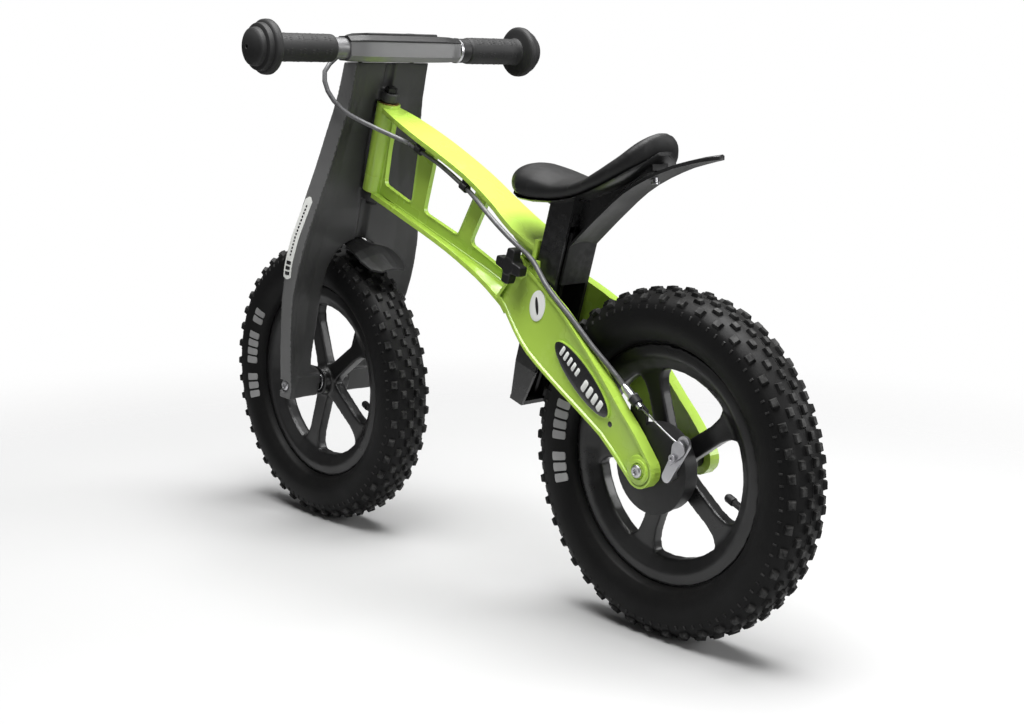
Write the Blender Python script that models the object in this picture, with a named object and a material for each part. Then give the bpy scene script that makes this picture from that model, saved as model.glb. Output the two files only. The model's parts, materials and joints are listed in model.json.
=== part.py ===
"""Toddler's balance bike with a rear drum brake, modelled as separate pieces in metres.

+X points forward, +Y to the rider's left and +Z up. The origin is on the floor, half way
between the axles. Every moving group hangs from an empty on its own joint axis.
"""

import math

import bmesh
import bpy
from mathutils import Matrix, Vector

# Overall sizes
WHEELBASE = 0.533
TYRE_RADIUS = 0.160
TYRE_WIDTH = 0.055
HANDLEBAR_LENGTH = 0.376

# Clearances
GAP = 0.0003
RUNNING_GAP = 0.0008

# Wheels
RIM_RADIUS = 0.1106
RIM_WIDTH = 0.0268
RIM_INNER_RADIUS = 0.0868
SPOKE_COUNT = 5
SPOKE_PHASE = math.radians(74)
SPOKE_HALF_WIDTH = 0.0092
HUB_RADIUS = 0.0165
HUB_HALF_LENGTH = 0.0172
VALVE_ANGLE = math.radians(-162)
VALVE_LEAN = math.radians(8)

# Axles, bearings and bolts
AXLE_RADIUS = 0.005
BEARING_RADIUS = 0.0110
BEARING_WIDTH = 0.0070
BOLT_RADIUS = 0.0030
BOLT_HEAD_RADIUS = 0.0060

# Steering head
HEAD_BEHIND_FRONT_AXLE = 0.1035
HEAD_ABOVE_TYRE = 0.108
HEAD_TILT = math.radians(16.9)
BARREL_RADIUS = 0.0125
BARREL_LENGTH = 0.097
PIN_RADIUS = 0.004
BUSH_WALL = 0.003

# Frame
WEB_THICKNESS = 0.005
FLANGE_THICKNESS = 0.005
CLAMP_AHEAD_OF_REAR_AXLE = 0.1715
CLAMP_ABOVE_TYRE = 0.005
ARM_END_RADIUS = 0.0160
ARM_OUTER_AT_AXLE = 0.0452
ARM_INNER_AT_AXLE = 0.0330

# Seat
POST_AHEAD_OF_REAR_AXLE = 0.1458
POST_TILT = math.radians(17)
POST_HALF_WIDTH = 0.0220
POST_HALF_DEPTH = 0.0160
POST_WALL = 0.0035
POST_BELOW = 0.1440
POST_ABOVE = 0.0590

# Fork
FORK_FOOT_INNER = 0.0185
ARCH_CLEARANCE = 0.0175
FORK_BOLT_SEAT = 0.0590

# Handlebar
BAR_RADIUS = 0.0110
BAR_WALL = 0.0025
BAR_HEIGHT_ABOVE_TYRE = 0.1990 + BAR_RADIUS
GRIP_RADIUS = BAR_RADIUS + 0.0030
GRIP_INNER_END = 0.0880
BUMPER_RADIUS = 0.0270
CLAMP_BLOCK_HALF_LENGTH = 0.0720
CROWN_BOLT_AHEAD = 0.0250
CROWN_BOLT_SPACING = 0.0340

# Rear brake
DRUM_RADIUS = 0.0405
DRUM_WALL = 0.0033
BRAKE_COVER_RADIUS = 0.0420
CAM_RADIUS = 0.0310
CABLE_RADIUS = 0.0025
WIRE_RADIUS = 0.0008

# Anchors that the rest is placed from
REAR_AXLE = Vector((-WHEELBASE / 2, 0, TYRE_RADIUS))
FRONT_AXLE = Vector((WHEELBASE / 2, 0, TYRE_RADIUS))
HEAD = Vector((FRONT_AXLE.x - HEAD_BEHIND_FRONT_AXLE, 0, 2 * TYRE_RADIUS + HEAD_ABOVE_TYRE))
CLAMP = Vector((REAR_AXLE.x + CLAMP_AHEAD_OF_REAR_AXLE, 0, 2 * TYRE_RADIUS + CLAMP_ABOVE_TYRE))
POST = Vector((REAR_AXLE.x + POST_AHEAD_OF_REAR_AXLE, 0, CLAMP.z))
HEAD_AXIS = Vector((-math.sin(HEAD_TILT), 0, math.cos(HEAD_TILT)))
HEAD_FORWARD = Vector((math.cos(HEAD_TILT), 0, math.sin(HEAD_TILT)))
BAR_RISE = (2 * TYRE_RADIUS + BAR_HEIGHT_ABOVE_TYRE - HEAD.z) / HEAD_AXIS.z
BAR = HEAD + HEAD_AXIS * BAR_RISE - HEAD_FORWARD * 0.0043
BAR.z = 2 * TYRE_RADIUS + BAR_HEIGHT_ABOVE_TYRE
CAM_PIVOT = REAR_AXLE + Vector((-CAM_RADIUS, 0, 0))
LEVER_PIVOT = BAR + Vector((0.0360, -0.0860, 0.0020))
KNOB_AXIS = CLAMP + Vector((0.0040, 0, 0.0010))

UP = Vector((0, 0, 1))
LEFT, RIGHT = 1, -1


# ---------------------------------------------------------------- scene and materials

def clear_scene():
    for obj in list(bpy.data.objects):
        bpy.data.objects.remove(obj, do_unlink=True)


def finish(name, colour, roughness, metallic=0.0):
    material = bpy.data.materials.new(name)
    material.use_nodes = True
    shader = material.node_tree.nodes["Principled BSDF"]
    shader.inputs["Base Color"].default_value = (*colour, 1)
    shader.inputs["Roughness"].default_value = roughness
    shader.inputs["Metallic"].default_value = metallic
    return material


def make_finishes():
    return {
        "lime": finish("lime_composite", (0.28, 0.52, 0.03), 0.32),
        "black": finish("black_composite", (0.030, 0.030, 0.032), 0.45),
        "soft_black": finish("soft_black", (0.020, 0.020, 0.021), 0.62),
        "tyre": finish("tyre_rubber", (0.018, 0.018, 0.018), 0.78),
        "grip": finish("grip_rubber", (0.026, 0.026, 0.027), 0.70),
        "silver": finish("silver_alloy", (0.62, 0.62, 0.63), 0.30, 0.9),
        "steel": finish("steel", (0.55, 0.55, 0.56), 0.28, 1.0),
        "bar": finish("grey_bar", (0.33, 0.33, 0.34), 0.38, 0.3),
        "cable": finish("cable_housing", (0.30, 0.30, 0.31), 0.40),
        "bronze": finish("bush_bronze", (0.45, 0.30, 0.14), 0.40, 0.8),
        "lining": finish("brake_lining", (0.12, 0.09, 0.07), 0.85),
    }


# ---------------------------------------------------------------- shape helpers

def ring_faces(bm, rings, closed_path):
    """Skins neighbouring rings of equal length with quads."""
    count = len(rings)
    for k in range(count if closed_path else count - 1):
        near, far = rings[k], rings[(k + 1) % count]
        for i in range(len(near)):
            j = (i + 1) % len(near)
            bm.faces.new((near[i], near[j], far[j], far[i]))


def tidy(bm):
    """Merges the points that meet at a pole and turns every face outwards."""
    bmesh.ops.remove_doubles(bm, verts=bm.verts, dist=1e-6)
    loose = [edge for edge in bm.edges if not edge.link_faces]
    bmesh.ops.delete(bm, geom=loose, context="EDGES")
    bmesh.ops.recalc_face_normals(bm, faces=bm.faces)
    return bm


def turned(profile, steps=28, start=0.0):
    """A closed profile of (radius, offset) points spun about Y."""
    bm = bmesh.new()
    rings = []
    for step in range(steps):
        angle = start + 2 * math.pi * step / steps
        rings.append([bm.verts.new((r * math.cos(angle), y, r * math.sin(angle))) for r, y in profile])
    ring_faces(bm, rings, closed_path=True)
    return tidy(bm)


def rod(radius, low, high, steps=16, bore=0.0):
    return turned([(bore, low), (radius, low), (radius, high), (bore, high)], steps)


def prism(outline, low, high):
    """An outline of (x, z) points given thickness along Y."""
    bm = bmesh.new()
    rings = [[bm.verts.new((x, y, z)) for x, z in outline] for y in (low, high)]
    ring_faces(bm, rings, closed_path=False)
    for ring in rings:
        bm.faces.new(ring)
    return tidy(bm)


def loft(sections):
    """Closed sections of equal length, skinned in order and capped at both ends."""
    bm = bmesh.new()
    rings = [[bm.verts.new(point) for point in section] for section in sections]
    ring_faces(bm, rings, closed_path=False)
    bm.faces.new(rings[0])
    bm.faces.new(rings[-1])
    return tidy(bm)


def block(low, high):
    (x0, y0, z0), (x1, y1, z1) = low, high
    return prism([(x0, z0), (x1, z0), (x1, z1), (x0, z1)], y0, y1)


def moved(bm, matrix):
    bmesh.ops.transform(bm, matrix=matrix, verts=bm.verts)
    return bm


def shift(x=0.0, y=0.0, z=0.0):
    return Matrix.Translation((x, y, z))


def frame_at(origin, tilt=0.0):
    """The matrix of axes at origin whose Z leans back by tilt."""
    return Matrix.Translation(origin) @ Matrix.Rotation(-tilt, 4, "Y")


def axis_y_to_z():
    return Matrix.Rotation(math.pi / 2, 4, "X")


def axis_y_to_z_down():
    return Matrix.Rotation(-math.pi / 2, 4, "X")


def circle(radius, steps, centre=(0.0, 0.0), start=0.0):
    return [
        (
            centre[0] + radius * math.cos(start + 2 * math.pi * i / steps),
            centre[1] + radius * math.sin(start + 2 * math.pi * i / steps),
        )
        for i in range(steps)
    ]


def interpolate(table, value):
    """Reads a smooth curve through the rows of a table at value, for every column."""
    rows = sorted(table)
    value = min(max(value, rows[0][0]), rows[-1][0])
    k = max(i for i in range(len(rows) - 1) if rows[i][0] <= value)
    before, near, far, after = rows[max(k - 1, 0)], rows[k], rows[k + 1], rows[min(k + 2, len(rows) - 1)]
    span = far[0] - near[0]
    t = (value - near[0]) / span
    result = []
    for column in range(1, len(near)):
        slope_near = (far[column] - before[column]) / (far[0] - before[0]) * span
        slope_far = (after[column] - near[column]) / (after[0] - near[0]) * span
        a, b = near[column], far[column]
        result.append(
            (2 * t**3 - 3 * t**2 + 1) * a
            + (t**3 - 2 * t**2 + t) * slope_near
            + (3 * t**2 - 2 * t**3) * b
            + (t**3 - t**2) * slope_far
        )
    return result


def combine(name, base, unions=(), cuts=()):
    """One mesh: base joined with every union, then cut by every cut."""
    target = scratch_object(name, base)
    for operation, shapes in (("UNION", unions), ("DIFFERENCE", cuts)):
        for shape in shapes:
            tool = scratch_object(name + "_tool", shape)
            modifier = target.modifiers.new(operation, "BOOLEAN")
            modifier.operation = operation
            modifier.solver = "EXACT"
            modifier.object = tool
            graph = bpy.context.evaluated_depsgraph_get()
            graph.update()
            result = bpy.data.meshes.new_from_object(target.evaluated_get(graph))
            target.modifiers.clear()
            target.data = result
            bpy.data.objects.remove(tool, do_unlink=True)
    bm = bmesh.new()
    bm.from_mesh(target.data)
    bpy.data.objects.remove(target, do_unlink=True)
    bmesh.ops.remove_doubles(bm, verts=bm.verts, dist=2e-5)
    bmesh.ops.dissolve_degenerate(bm, edges=bm.edges, dist=1e-5)
    bmesh.ops.triangulate(bm, faces=[face for face in bm.faces if len(face.verts) > 4])
    bmesh.ops.holes_fill(bm, edges=[edge for edge in bm.edges if edge.is_boundary], sides=4)
    bmesh.ops.recalc_face_normals(bm, faces=bm.faces)
    return bm


def scratch_object(name, bm):
    mesh = bpy.data.meshes.new(name)
    bm.to_mesh(mesh)
    obj = bpy.data.objects.new(name, mesh)
    bpy.context.scene.collection.objects.link(obj)
    return obj


def add(name, bm, material, parent=None, sharp=35):
    """Makes the named piece. Its mesh is given in its parent's axes."""
    mesh = bpy.data.meshes.new(name)
    bm.to_mesh(mesh)
    bm.free()
    mesh.materials.append(material)
    mesh.shade_smooth()
    mesh.set_sharp_from_angle(angle=math.radians(sharp))
    obj = bpy.data.objects.new(name, mesh)
    bpy.context.scene.collection.objects.link(obj)
    obj.parent = parent
    return obj


def joint_empty(name, matrix, parent=None):
    empty = bpy.data.objects.new(name, None)
    empty.empty_display_size = 0.03
    bpy.context.scene.collection.objects.link(empty)
    empty.parent = parent
    base = parent["world"] if parent else None
    empty.matrix_basis = world_matrix(base).inverted() @ matrix if parent else matrix
    empty["world"] = [value for row in matrix for value in row]
    return empty


def world_matrix(values):
    return Matrix([values[4 * i : 4 * i + 4] for i in range(4)])


def smooth_route(points, spacing):
    """Evenly enough spaced points on a smooth curve through the given ones."""
    points = [Vector(p) for p in points]
    route = []
    for k in range(len(points) - 1):
        before, near, far = points[max(k - 1, 0)], points[k], points[k + 1]
        after = points[min(k + 2, len(points) - 1)]
        steps = max(1, round((far - near).length / spacing))
        for i in range(steps):
            t = i / steps
            route.append(
                0.5
                * (
                    2 * near
                    + (far - before) * t
                    + (2 * before - 5 * near + 4 * far - after) * t**2
                    + (3 * near - before - 3 * far + after) * t**3
                )
            )
    route.append(points[-1])
    return route


def add_cord(name, points, radius, spacing, material, parent=None):
    """A cord: a round tube with closed ends along a smooth route."""
    curve = bpy.data.curves.new(name, "CURVE")
    curve.dimensions = "3D"
    curve.bevel_depth = radius
    curve.bevel_resolution = 2
    curve.use_fill_caps = True
    spline = curve.splines.new("POLY")
    route = smooth_route(points, spacing)
    spline.points.add(len(route) - 1)
    for point, place in zip(spline.points, route):
        point.co = (*place, 1)
    curve.materials.append(material)
    obj = bpy.data.objects.new(name, curve)
    bpy.context.scene.collection.objects.link(obj)
    obj.parent = parent
    return obj


# ---------------------------------------------------------------- wheels

def tyre_profile():
    """The tyre's half section, mirrored: tread, side walls, beads and the open inner cavity."""
    half = TYRE_WIDTH / 2
    top = TYRE_RADIUS
    bead = RIM_WIDTH / 2 - 0.0023
    outer = [
        (top, 0.010),
        (top - 0.0030, 0.67 * half),
        (top - 0.0100, 0.88 * half),
        (top - 0.0260, half),
        (top - 0.0385, 0.90 * half),
        (RIM_RADIUS + 0.0035, RIM_WIDTH / 2 + 0.0028),
        (RIM_RADIUS + 0.0004, bead),
        (RIM_RADIUS - 0.0056, bead),
        (RIM_RADIUS - 0.0056, bead - 0.0032),
    ]
    inner = [
        (RIM_RADIUS + 0.0030, RIM_WIDTH / 2 - 0.0040),
        (top - 0.0385, 0.90 * half - 0.0030),
        (top - 0.0260, half - 0.0030),
        (top - 0.0140, 0.78 * half),
        (top - 0.0075, 0.45 * half),
    ]
    left_side = outer + inner
    right_side = [(r, -y) for r, y in reversed(left_side)]
    return left_side + right_side


def tube_profile():
    """The inflated inner tube's section, just clear of the tyre's cavity and the rim's bed."""
    half = TYRE_WIDTH / 2
    top = TYRE_RADIUS
    side = [
        (top - 0.0082 - GAP, 0.0),
        (top - 0.0090 - GAP, 0.38 * half),
        (top - 0.0165 - GAP, 0.72 * half),
        (top - 0.0270, half - 0.0041),
        (top - 0.0385, 0.90 * half - 0.0044),
        (RIM_RADIUS + 0.0030, RIM_WIDTH / 2 - 0.0052),
        (RIM_RADIUS - 0.0048, RIM_WIDTH / 2 - 0.0064),
        (RIM_RADIUS - 0.0057, 0.0),
    ]
    return side + [(r, -y) for r, y in reversed(side[1:-1])]


def rim_profile():
    """The rim: two flanges, a well between them and the inner wall the spokes grow from."""
    half = RIM_WIDTH / 2
    side = [
        (RIM_RADIUS, half),
        (RIM_RADIUS, half - 0.0020),
        (RIM_RADIUS - 0.0060, half - 0.0020),
        (RIM_RADIUS - 0.0068, half - 0.0062),
    ]
    lower = [
        (RIM_INNER_RADIUS, half - 0.0068),
        (RIM_RADIUS - 0.0116, half),
    ]
    return side + [(r, -y) for r, y in reversed(side)] + [(r, -y) for r, y in reversed(lower)] + lower


def spoke(angle, hub_radius):
    """A flat spoke that flares where it runs into the rim and the hub."""
    stations = [
        (hub_radius - 0.003, SPOKE_HALF_WIDTH + 0.0020),
        (hub_radius + 0.010, SPOKE_HALF_WIDTH),
        (RIM_INNER_RADIUS - 0.022, SPOKE_HALF_WIDTH - 0.0006),
        (RIM_INNER_RADIUS - 0.010, SPOKE_HALF_WIDTH + 0.0014),
        (RIM_INNER_RADIUS - 0.004, SPOKE_HALF_WIDTH + 0.0052),
        (RIM_INNER_RADIUS + 0.002, SPOKE_HALF_WIDTH + 0.0120),
    ]
    outline = [(r, w) for r, w in stations] + [(r, -w) for r, w in reversed(stations)]
    return moved(prism(outline, -0.0062, 0.0062), Matrix.Rotation(-angle, 4, "Y"))


def valve_matrix():
    """Axes whose +Y runs along the valve, from the rim's bed towards the hub."""
    seat = Matrix.Rotation(-VALVE_ANGLE, 4, "Y") @ shift(x=RIM_INNER_RADIUS + 0.0100)
    return seat @ Matrix.Rotation(math.pi / 2 + VALVE_LEAN, 4, "Z")


def wheel_body(hub_left, hub_right, hub_radius):
    """Rim, spokes and hub moulded in one piece, with bearing seats and a valve hole."""
    spokes = [spoke(SPOKE_PHASE + 2 * math.pi * k / SPOKE_COUNT, hub_radius) for k in range(SPOKE_COUNT)]
    hub = rod(hub_radius, hub_right, hub_left, 28)
    seat = BEARING_RADIUS + GAP
    depth = BEARING_WIDTH + GAP
    cuts = [
        rod(AXLE_RADIUS + RUNNING_GAP, hub_right - 0.01, hub_left + 0.01, 20),
        rod(seat, hub_left - depth, hub_left + 0.01, 28),
        rod(seat, hub_right - 0.01, hub_right + depth, 28),
        moved(rod(0.0050, -0.02, 0.05, 12), valve_matrix()),
    ]
    return combine("wheel", turned(rim_profile(), 36), [*spokes, hub], cuts)


def inner_tube():
    stem = moved(rod(0.0032, -0.008, 0.0230, 12), valve_matrix())
    return combine("tube", turned(tube_profile(), 28), [stem])


def valve_cap():
    cap = turned([(0, 0.0233), (0.0041, 0.0233), (0.0041, 0.0315), (0.0030, 0.0335), (0, 0.0335)], 12)
    return moved(cap, valve_matrix())


def bearing():
    """A sealed ball bearing as one ring, open at its bore."""
    outer, bore, half = BEARING_RADIUS, AXLE_RADIUS + GAP, BEARING_WIDTH / 2
    side = [(outer, half - 0.0005), (outer - 0.0005, half), (bore, half)]
    return turned(side + [(r, -y) for r, y in reversed(side)], 20)


def axle(half_length):
    """A hollow axle, bored at both ends for its bolts."""
    bore, depth = BOLT_RADIUS + GAP, 0.0150
    core = 0.0012
    return turned(
        [
            (core, -half_length + depth),
            (bore, -half_length + depth),
            (bore, -half_length),
            (AXLE_RADIUS, -half_length),
            (AXLE_RADIUS, half_length),
            (bore, half_length),
            (bore, half_length - depth),
            (core, half_length - depth),
        ],
        16,
    )


def axle_bolt(head_seat, tip, side):
    """A domed socket bolt that enters from one side and ends inside the axle."""
    head = [
        (BOLT_HEAD_RADIUS, head_seat),
        (BOLT_HEAD_RADIUS, head_seat + 0.0014),
        (BOLT_HEAD_RADIUS - 0.0014, head_seat + 0.0026),
        (0.0025, head_seat + 0.0026),
        (0.0023, head_seat + 0.0006),
        (0, head_seat + 0.0006),
    ]
    profile = [(0, tip), (BOLT_RADIUS, tip), (BOLT_RADIUS, head_seat), *head]
    return turned([(r, side * y) for r, y in profile], 18)


def build_wheel(prefix, parent, finishes, hub_left, hub_right, hub_radius):
    add(prefix + "_wheel", wheel_body(hub_left, hub_right, hub_radius), finishes["black"], parent)
    add(prefix + "_tyre", turned(tyre_profile(), 36), finishes["tyre"], parent)
    add(prefix + "_inner_tube", inner_tube(), finishes["soft_black"], parent)
    add(prefix + "_valve_cap", valve_cap(), finishes["black"], parent)
    inset = BEARING_WIDTH / 2
    for side, place in (("left", hub_left - inset), ("right", hub_right + inset)):
        add(f"{prefix}_bearing_{side}", moved(bearing(), shift(y=place)), finishes["steel"], parent)


# ---------------------------------------------------------------- frame

def between(start, end, along, across):
    """The (x, z) point a share of the way from start to end, and so far above that line."""
    line = end - start
    normal = Vector((-line.z, 0, line.x)).normalized()
    place = start + line * along + normal * across
    return place.x, place.z


def beam(along, across):
    return between(CLAMP, HEAD, along, across)


def arm(along, across):
    return between(REAR_AXLE, CLAMP, along, across)


# Share of the way from the seat clamp to the head, height of the edge, half width
TOP_FLANGE = [
    (-0.01, 0.0216, 0.0230),
    (0.06, 0.0224, 0.0232),
    (0.135, 0.0243, 0.0228),
    (0.26, 0.0311, 0.0190),
    (0.42, 0.0387, 0.0181),
    (0.58, 0.0423, 0.0189),
    (0.74, 0.0442, 0.0194),
    (0.90, 0.0454, 0.0163),
    (1.03, 0.0456, 0.0098),
]
BOTTOM_FLANGE = [
    (-0.10, -0.0560, 0.0350),
    (0.045, -0.0507, 0.0290),
    (0.20, -0.0478, 0.0215),
    (0.35, -0.0484, 0.0150),
    (0.50, -0.0496, 0.0105),
    (0.75, -0.0509, 0.0100),
    (1.02, -0.0530, 0.0098),
]
# Share of the way from the rear axle to the seat clamp, lower edge, upper edge, inner and outer face
ARM_EDGES = [
    (0.05, -0.0157, 0.0180, ARM_INNER_AT_AXLE, ARM_OUTER_AT_AXLE),
    (0.14, -0.0162, 0.0200, ARM_INNER_AT_AXLE, ARM_OUTER_AT_AXLE),
    (0.21, -0.0170, 0.0204, 0.0330, 0.0450),
    (0.38, -0.0258, 0.0230, 0.0325, 0.0446),
    (0.53, -0.0345, 0.0235, 0.0315, 0.0438),
    (0.69, -0.0430, 0.0222, 0.0310, 0.0420),
    (0.77, -0.0463, 0.0180, 0.0290, 0.0392),
    (0.865, -0.0483, 0.0117, 0.0240, 0.0345),
    (0.95, -0.0490, 0.0050, 0.0225, 0.0300),
    (1.02, -0.0490, -0.0030, 0.0223, 0.0290),
]
WINDOWS = [
    ((0.9213, -0.0333), (0.7415, -0.0335), (0.7840, 0.0372), (0.9600, 0.0372)),
    ((0.6649, -0.0326), (0.4536, -0.0306), (0.4110, 0.0320), (0.6790, 0.0362)),
    ((0.3812, -0.0298), (0.0550, -0.0330), (0.0850, 0.0060), (0.3440, 0.0280)),
]


def flange(table, thickness, low, high, steps):
    """A strip that follows an edge of the beam; a positive thickness hangs below the edge."""
    sections = []
    for step in range(steps + 1):
        along = low + (high - low) * step / steps
        across, half = interpolate(table, along)
        x0, z0 = beam(along, across)
        x1, z1 = beam(along, across - thickness)
        sections.append([(x0, -half, z0), (x0, half, z0), (x1, half, z1), (x1, -half, z1)])
    return loft(sections)


def rounded(corners, radius, steps=4):
    """An outline whose corners are replaced by arcs."""
    outline = []
    corners = [Vector(corner) for corner in corners]
    for k, corner in enumerate(corners):
        before = (corners[k - 1] - corner).normalized()
        after = (corners[(k + 1) % len(corners)] - corner).normalized()
        half_angle = before.angle(after) / 2
        reach = radius / math.tan(half_angle)
        centre = corner + (before + after).normalized() * radius / math.sin(half_angle)
        start, end = corner + before * reach - centre, corner + after * reach - centre
        turn = math.atan2(start.x * end.y - start.y * end.x, start.dot(end))
        for step in range(steps + 1):
            c, s = math.cos(turn * step / steps), math.sin(turn * step / steps)
            outline.append((centre.x + start.x * c - start.y * s, centre.y + start.x * s + start.y * c))
    return outline


def web():
    """The thin centre wall between the flanges."""
    top = [beam(a, interpolate(TOP_FLANGE, a)[0] - 0.002) for a in (1.0, 0.8, 0.6, 0.4, 0.25, 0.12, 0.0)]
    bottom = [beam(a, interpolate(BOTTOM_FLANGE, a)[0] + 0.002) for a in (0.0, 0.2, 0.4, 0.6, 0.8, 0.99)]
    neck = [beam(0.03, 0.0160), beam(-0.035, 0.0080)]
    return prism(top + neck + bottom, -WEB_THICKNESS / 2, WEB_THICKNESS / 2)


def window_cutter(corners):
    outline = rounded([beam(along, across) for along, across in corners], 0.006)
    return prism(outline, -0.02, 0.02)


def arm_plate(side):
    """One rear arm, a flared plate from the seat clamp to the axle with a round end."""
    length = (CLAMP - REAR_AXLE).length
    sections = []
    for step in range(1, 7):
        offset = ARM_END_RADIUS * math.cos(math.pi * step / 12)
        half = ARM_END_RADIUS * math.sin(math.pi * step / 12)
        sections.append((-offset / length, -half, half, ARM_INNER_AT_AXLE, ARM_OUTER_AT_AXLE))
    for step in range(1, 17):
        along = 0.03 + 0.99 * step / 16
        sections.append((along, *interpolate(ARM_EDGES, along)))
    rings = []
    for along, low, high, inner, outer in sections:
        (x0, z0), (x1, z1) = arm(along, low), arm(along, high)
        near, far = side * inner, side * outer
        rings.append([(x0, near, z0), (x0, far, z0), (x1, far, z1), (x1, near, z1)])
    return loft(rings)


def clamp_wall():
    """The transverse wall ahead of the seat post."""
    front = POST_HALF_DEPTH + GAP
    wall = block((front, -0.0230, -0.0560), (front + 0.0048, 0.0230, 0.0215))
    return moved(wall, frame_at(POST, POST_TILT))


def clamp_neck():
    """The thicker stretch of web between the deck's end and the clamp wall."""
    corners = [(0.17, 0.022), (0.12, 0.0030), (0.03, -0.0120), (-0.05, -0.0140), (-0.055, 0.0180)]
    return prism([beam(along, across) for along, across in corners], -0.0110, 0.0110)


def frame_cuts():
    half, front = POST_HALF_WIDTH + GAP, POST_HALF_DEPTH + GAP
    post_space = block((-0.060, -half, -0.2), (front, half, 0.12))
    cuts = [window_cutter(corners) for corners in WINDOWS]
    cuts.append(moved(post_space, frame_at(POST, POST_TILT)))
    bush_seat = PIN_RADIUS + BUSH_WALL + GAP
    head_axes = frame_at(HEAD, HEAD_TILT) @ axis_y_to_z()
    cuts.append(moved(rod(bush_seat, -0.2, 0.2, 20), head_axes))
    half = BARREL_LENGTH / 2
    for low, high in ((half + 0.0002, 0.075), (-0.075, -half - 0.0002)):
        cuts.append(moved(rod(BARREL_RADIUS + 0.0010, low, high, 24), head_axes))
    cuts.append(moved(rod(BOLT_RADIUS + GAP, -0.1, 0.1, 16), shift(REAR_AXLE.x, 0, REAR_AXLE.z)))
    cuts.append(moved(rod(0.0030 + GAP, -0.1, 0.1, 14), shift(KNOB_AXIS.x, 0, KNOB_AXIS.z)))
    return cuts


def ear(side):
    """The round lug at the front of an arm, which the clamp bolt passes through."""
    lug = rod(0.0095, 0.0223, 0.0302, 18)
    web_piece = prism([(0, 0.0080), (0, -0.0090), (-0.022, -0.0180), (-0.022, 0.0050)], 0.0223, 0.0290)
    both = combine("ear", lug, [web_piece])
    if side == RIGHT:
        bmesh.ops.transform(both, matrix=Matrix.Scale(-1, 4, (0, 1, 0)), verts=both.verts)
        bmesh.ops.reverse_faces(both, faces=both.faces)
    return moved(both, shift(KNOB_AXIS.x, 0, KNOB_AXIS.z))


def build_frame(finishes):
    barrel = rod(BARREL_RADIUS, -BARREL_LENGTH / 2, BARREL_LENGTH / 2, 24)
    barrel = moved(barrel, frame_at(HEAD, HEAD_TILT) @ axis_y_to_z())
    at_axle = shift(REAR_AXLE.x, 0, REAR_AXLE.z)
    boss_end = ARM_OUTER_AT_AXLE + 0.0010
    bosses = [moved(rod(0.0108, low, high, 24), at_axle) for low, high in ((0.040, boss_end), (-boss_end, -0.040))]
    solids = [
        flange(TOP_FLANGE, FLANGE_THICKNESS, -0.01, 1.015, 16),
        flange(BOTTOM_FLANGE, -FLANGE_THICKNESS, -0.06, 0.985, 14),
        barrel,
        arm_plate(LEFT),
        arm_plate(RIGHT),
        clamp_wall(),
        clamp_neck(),
        ear(LEFT),
        ear(RIGHT),
        *bosses,
    ]
    add("frame", combine("frame", web(), solids, frame_cuts()), finishes["lime"], sharp=28)


# ---------------------------------------------------------------- steering head

def build_head(finishes, steering):
    """Pin, nut and the two flanged bushes, in the steering axis's own axes."""
    half = BARREL_LENGTH / 2
    upright = axis_y_to_z()
    bore, outer = PIN_RADIUS + GAP, PIN_RADIUS + BUSH_WALL
    lug_end = half + 0.0015 + 0.0105
    for name, side in (("head_bush_upper", 1), ("head_bush_lower", -1)):
        profile = [
            (bore, side * (half - 0.016)),
            (outer, side * (half - 0.016)),
            (outer, side * (half + GAP)),
            (outer + 0.0038, side * (half + GAP)),
            (outer + 0.0038, side * (half + 0.0012)),
            (bore, side * (half + 0.0012)),
        ]
        add(name, moved(turned(profile, 20), frame_at(HEAD, HEAD_TILT) @ upright), finishes["bronze"])
    pin = turned(
        [
            (0, -lug_end - 0.0035),
            (0.0064, -lug_end - 0.0035),
            (0.0064, -lug_end - GAP),
            (PIN_RADIUS, -lug_end - GAP),
            (PIN_RADIUS, lug_end + 0.0065),
            (0, lug_end + 0.0065),
        ],
        16,
    )
    add("steering_pin", moved(pin, upright), finishes["steel"], steering)
    hexagon = prism(circle(0.0066, 6), lug_end + GAP, lug_end + 0.0050)
    nut = combine("nut", hexagon, (), [rod(PIN_RADIUS + GAP, 0, 0.1, 16)])
    add("steering_pin_nut", moved(nut, upright), finishes["steel"], steering)


# ---------------------------------------------------------------- fork

AXLE_IN_FORK = frame_at(HEAD, HEAD_TILT).inverted() @ FRONT_AXLE
ARCH_TOP = AXLE_IN_FORK.z + TYRE_RADIUS + ARCH_CLEARANCE
CROWN_TOP = BAR_RISE - 0.0030

# Height along the steering axis, rear edge, half width of the rear edge, front face, valley depth
FORK_SHAPE = [
    (AXLE_IN_FORK.z - 0.0150, 0.0118, 0.0570, 0.0318, 0.0030),
    (AXLE_IN_FORK.z, 0.0115, 0.0580, 0.0325, 0.0040),
    (AXLE_IN_FORK.z + 0.0370, 0.0100, 0.0660, 0.0300, 0.0110),
    (AXLE_IN_FORK.z + 0.0760, 0.0080, 0.0735, 0.0270, 0.0120),
    (AXLE_IN_FORK.z + 0.1090, 0.0056, 0.0789, 0.0255, 0.0120),
    (AXLE_IN_FORK.z + 0.1300, 0.0047, 0.0801, 0.0255, 0.0105),
    (ARCH_TOP - 0.0050, 0.0032, 0.0779, 0.0270, 0.0070),
    (ARCH_TOP + 0.0370, 0.0033, 0.0702, 0.0290, 0.0060),
    (-0.0300, 0.0031, 0.0610, 0.0300, 0.0110),
    (0.0113, 0.0035, 0.0538, 0.0295, 0.0120),
    (0.0533, 0.0034, 0.0480, 0.0270, 0.0050),
    (CROWN_TOP, 0.0039, 0.0469, 0.0250, 0.0020),
]
# Share of the half width, share of the valley's depth, from the rear edge to the middle
VALLEY = [(1.0, 0.0), (0.86, 0.45), (0.64, 0.90), (0.36, 1.0)]
GROOVE_HALF_WIDTH = 0.0050
GROOVE_DEPTH = 0.0045


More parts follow.
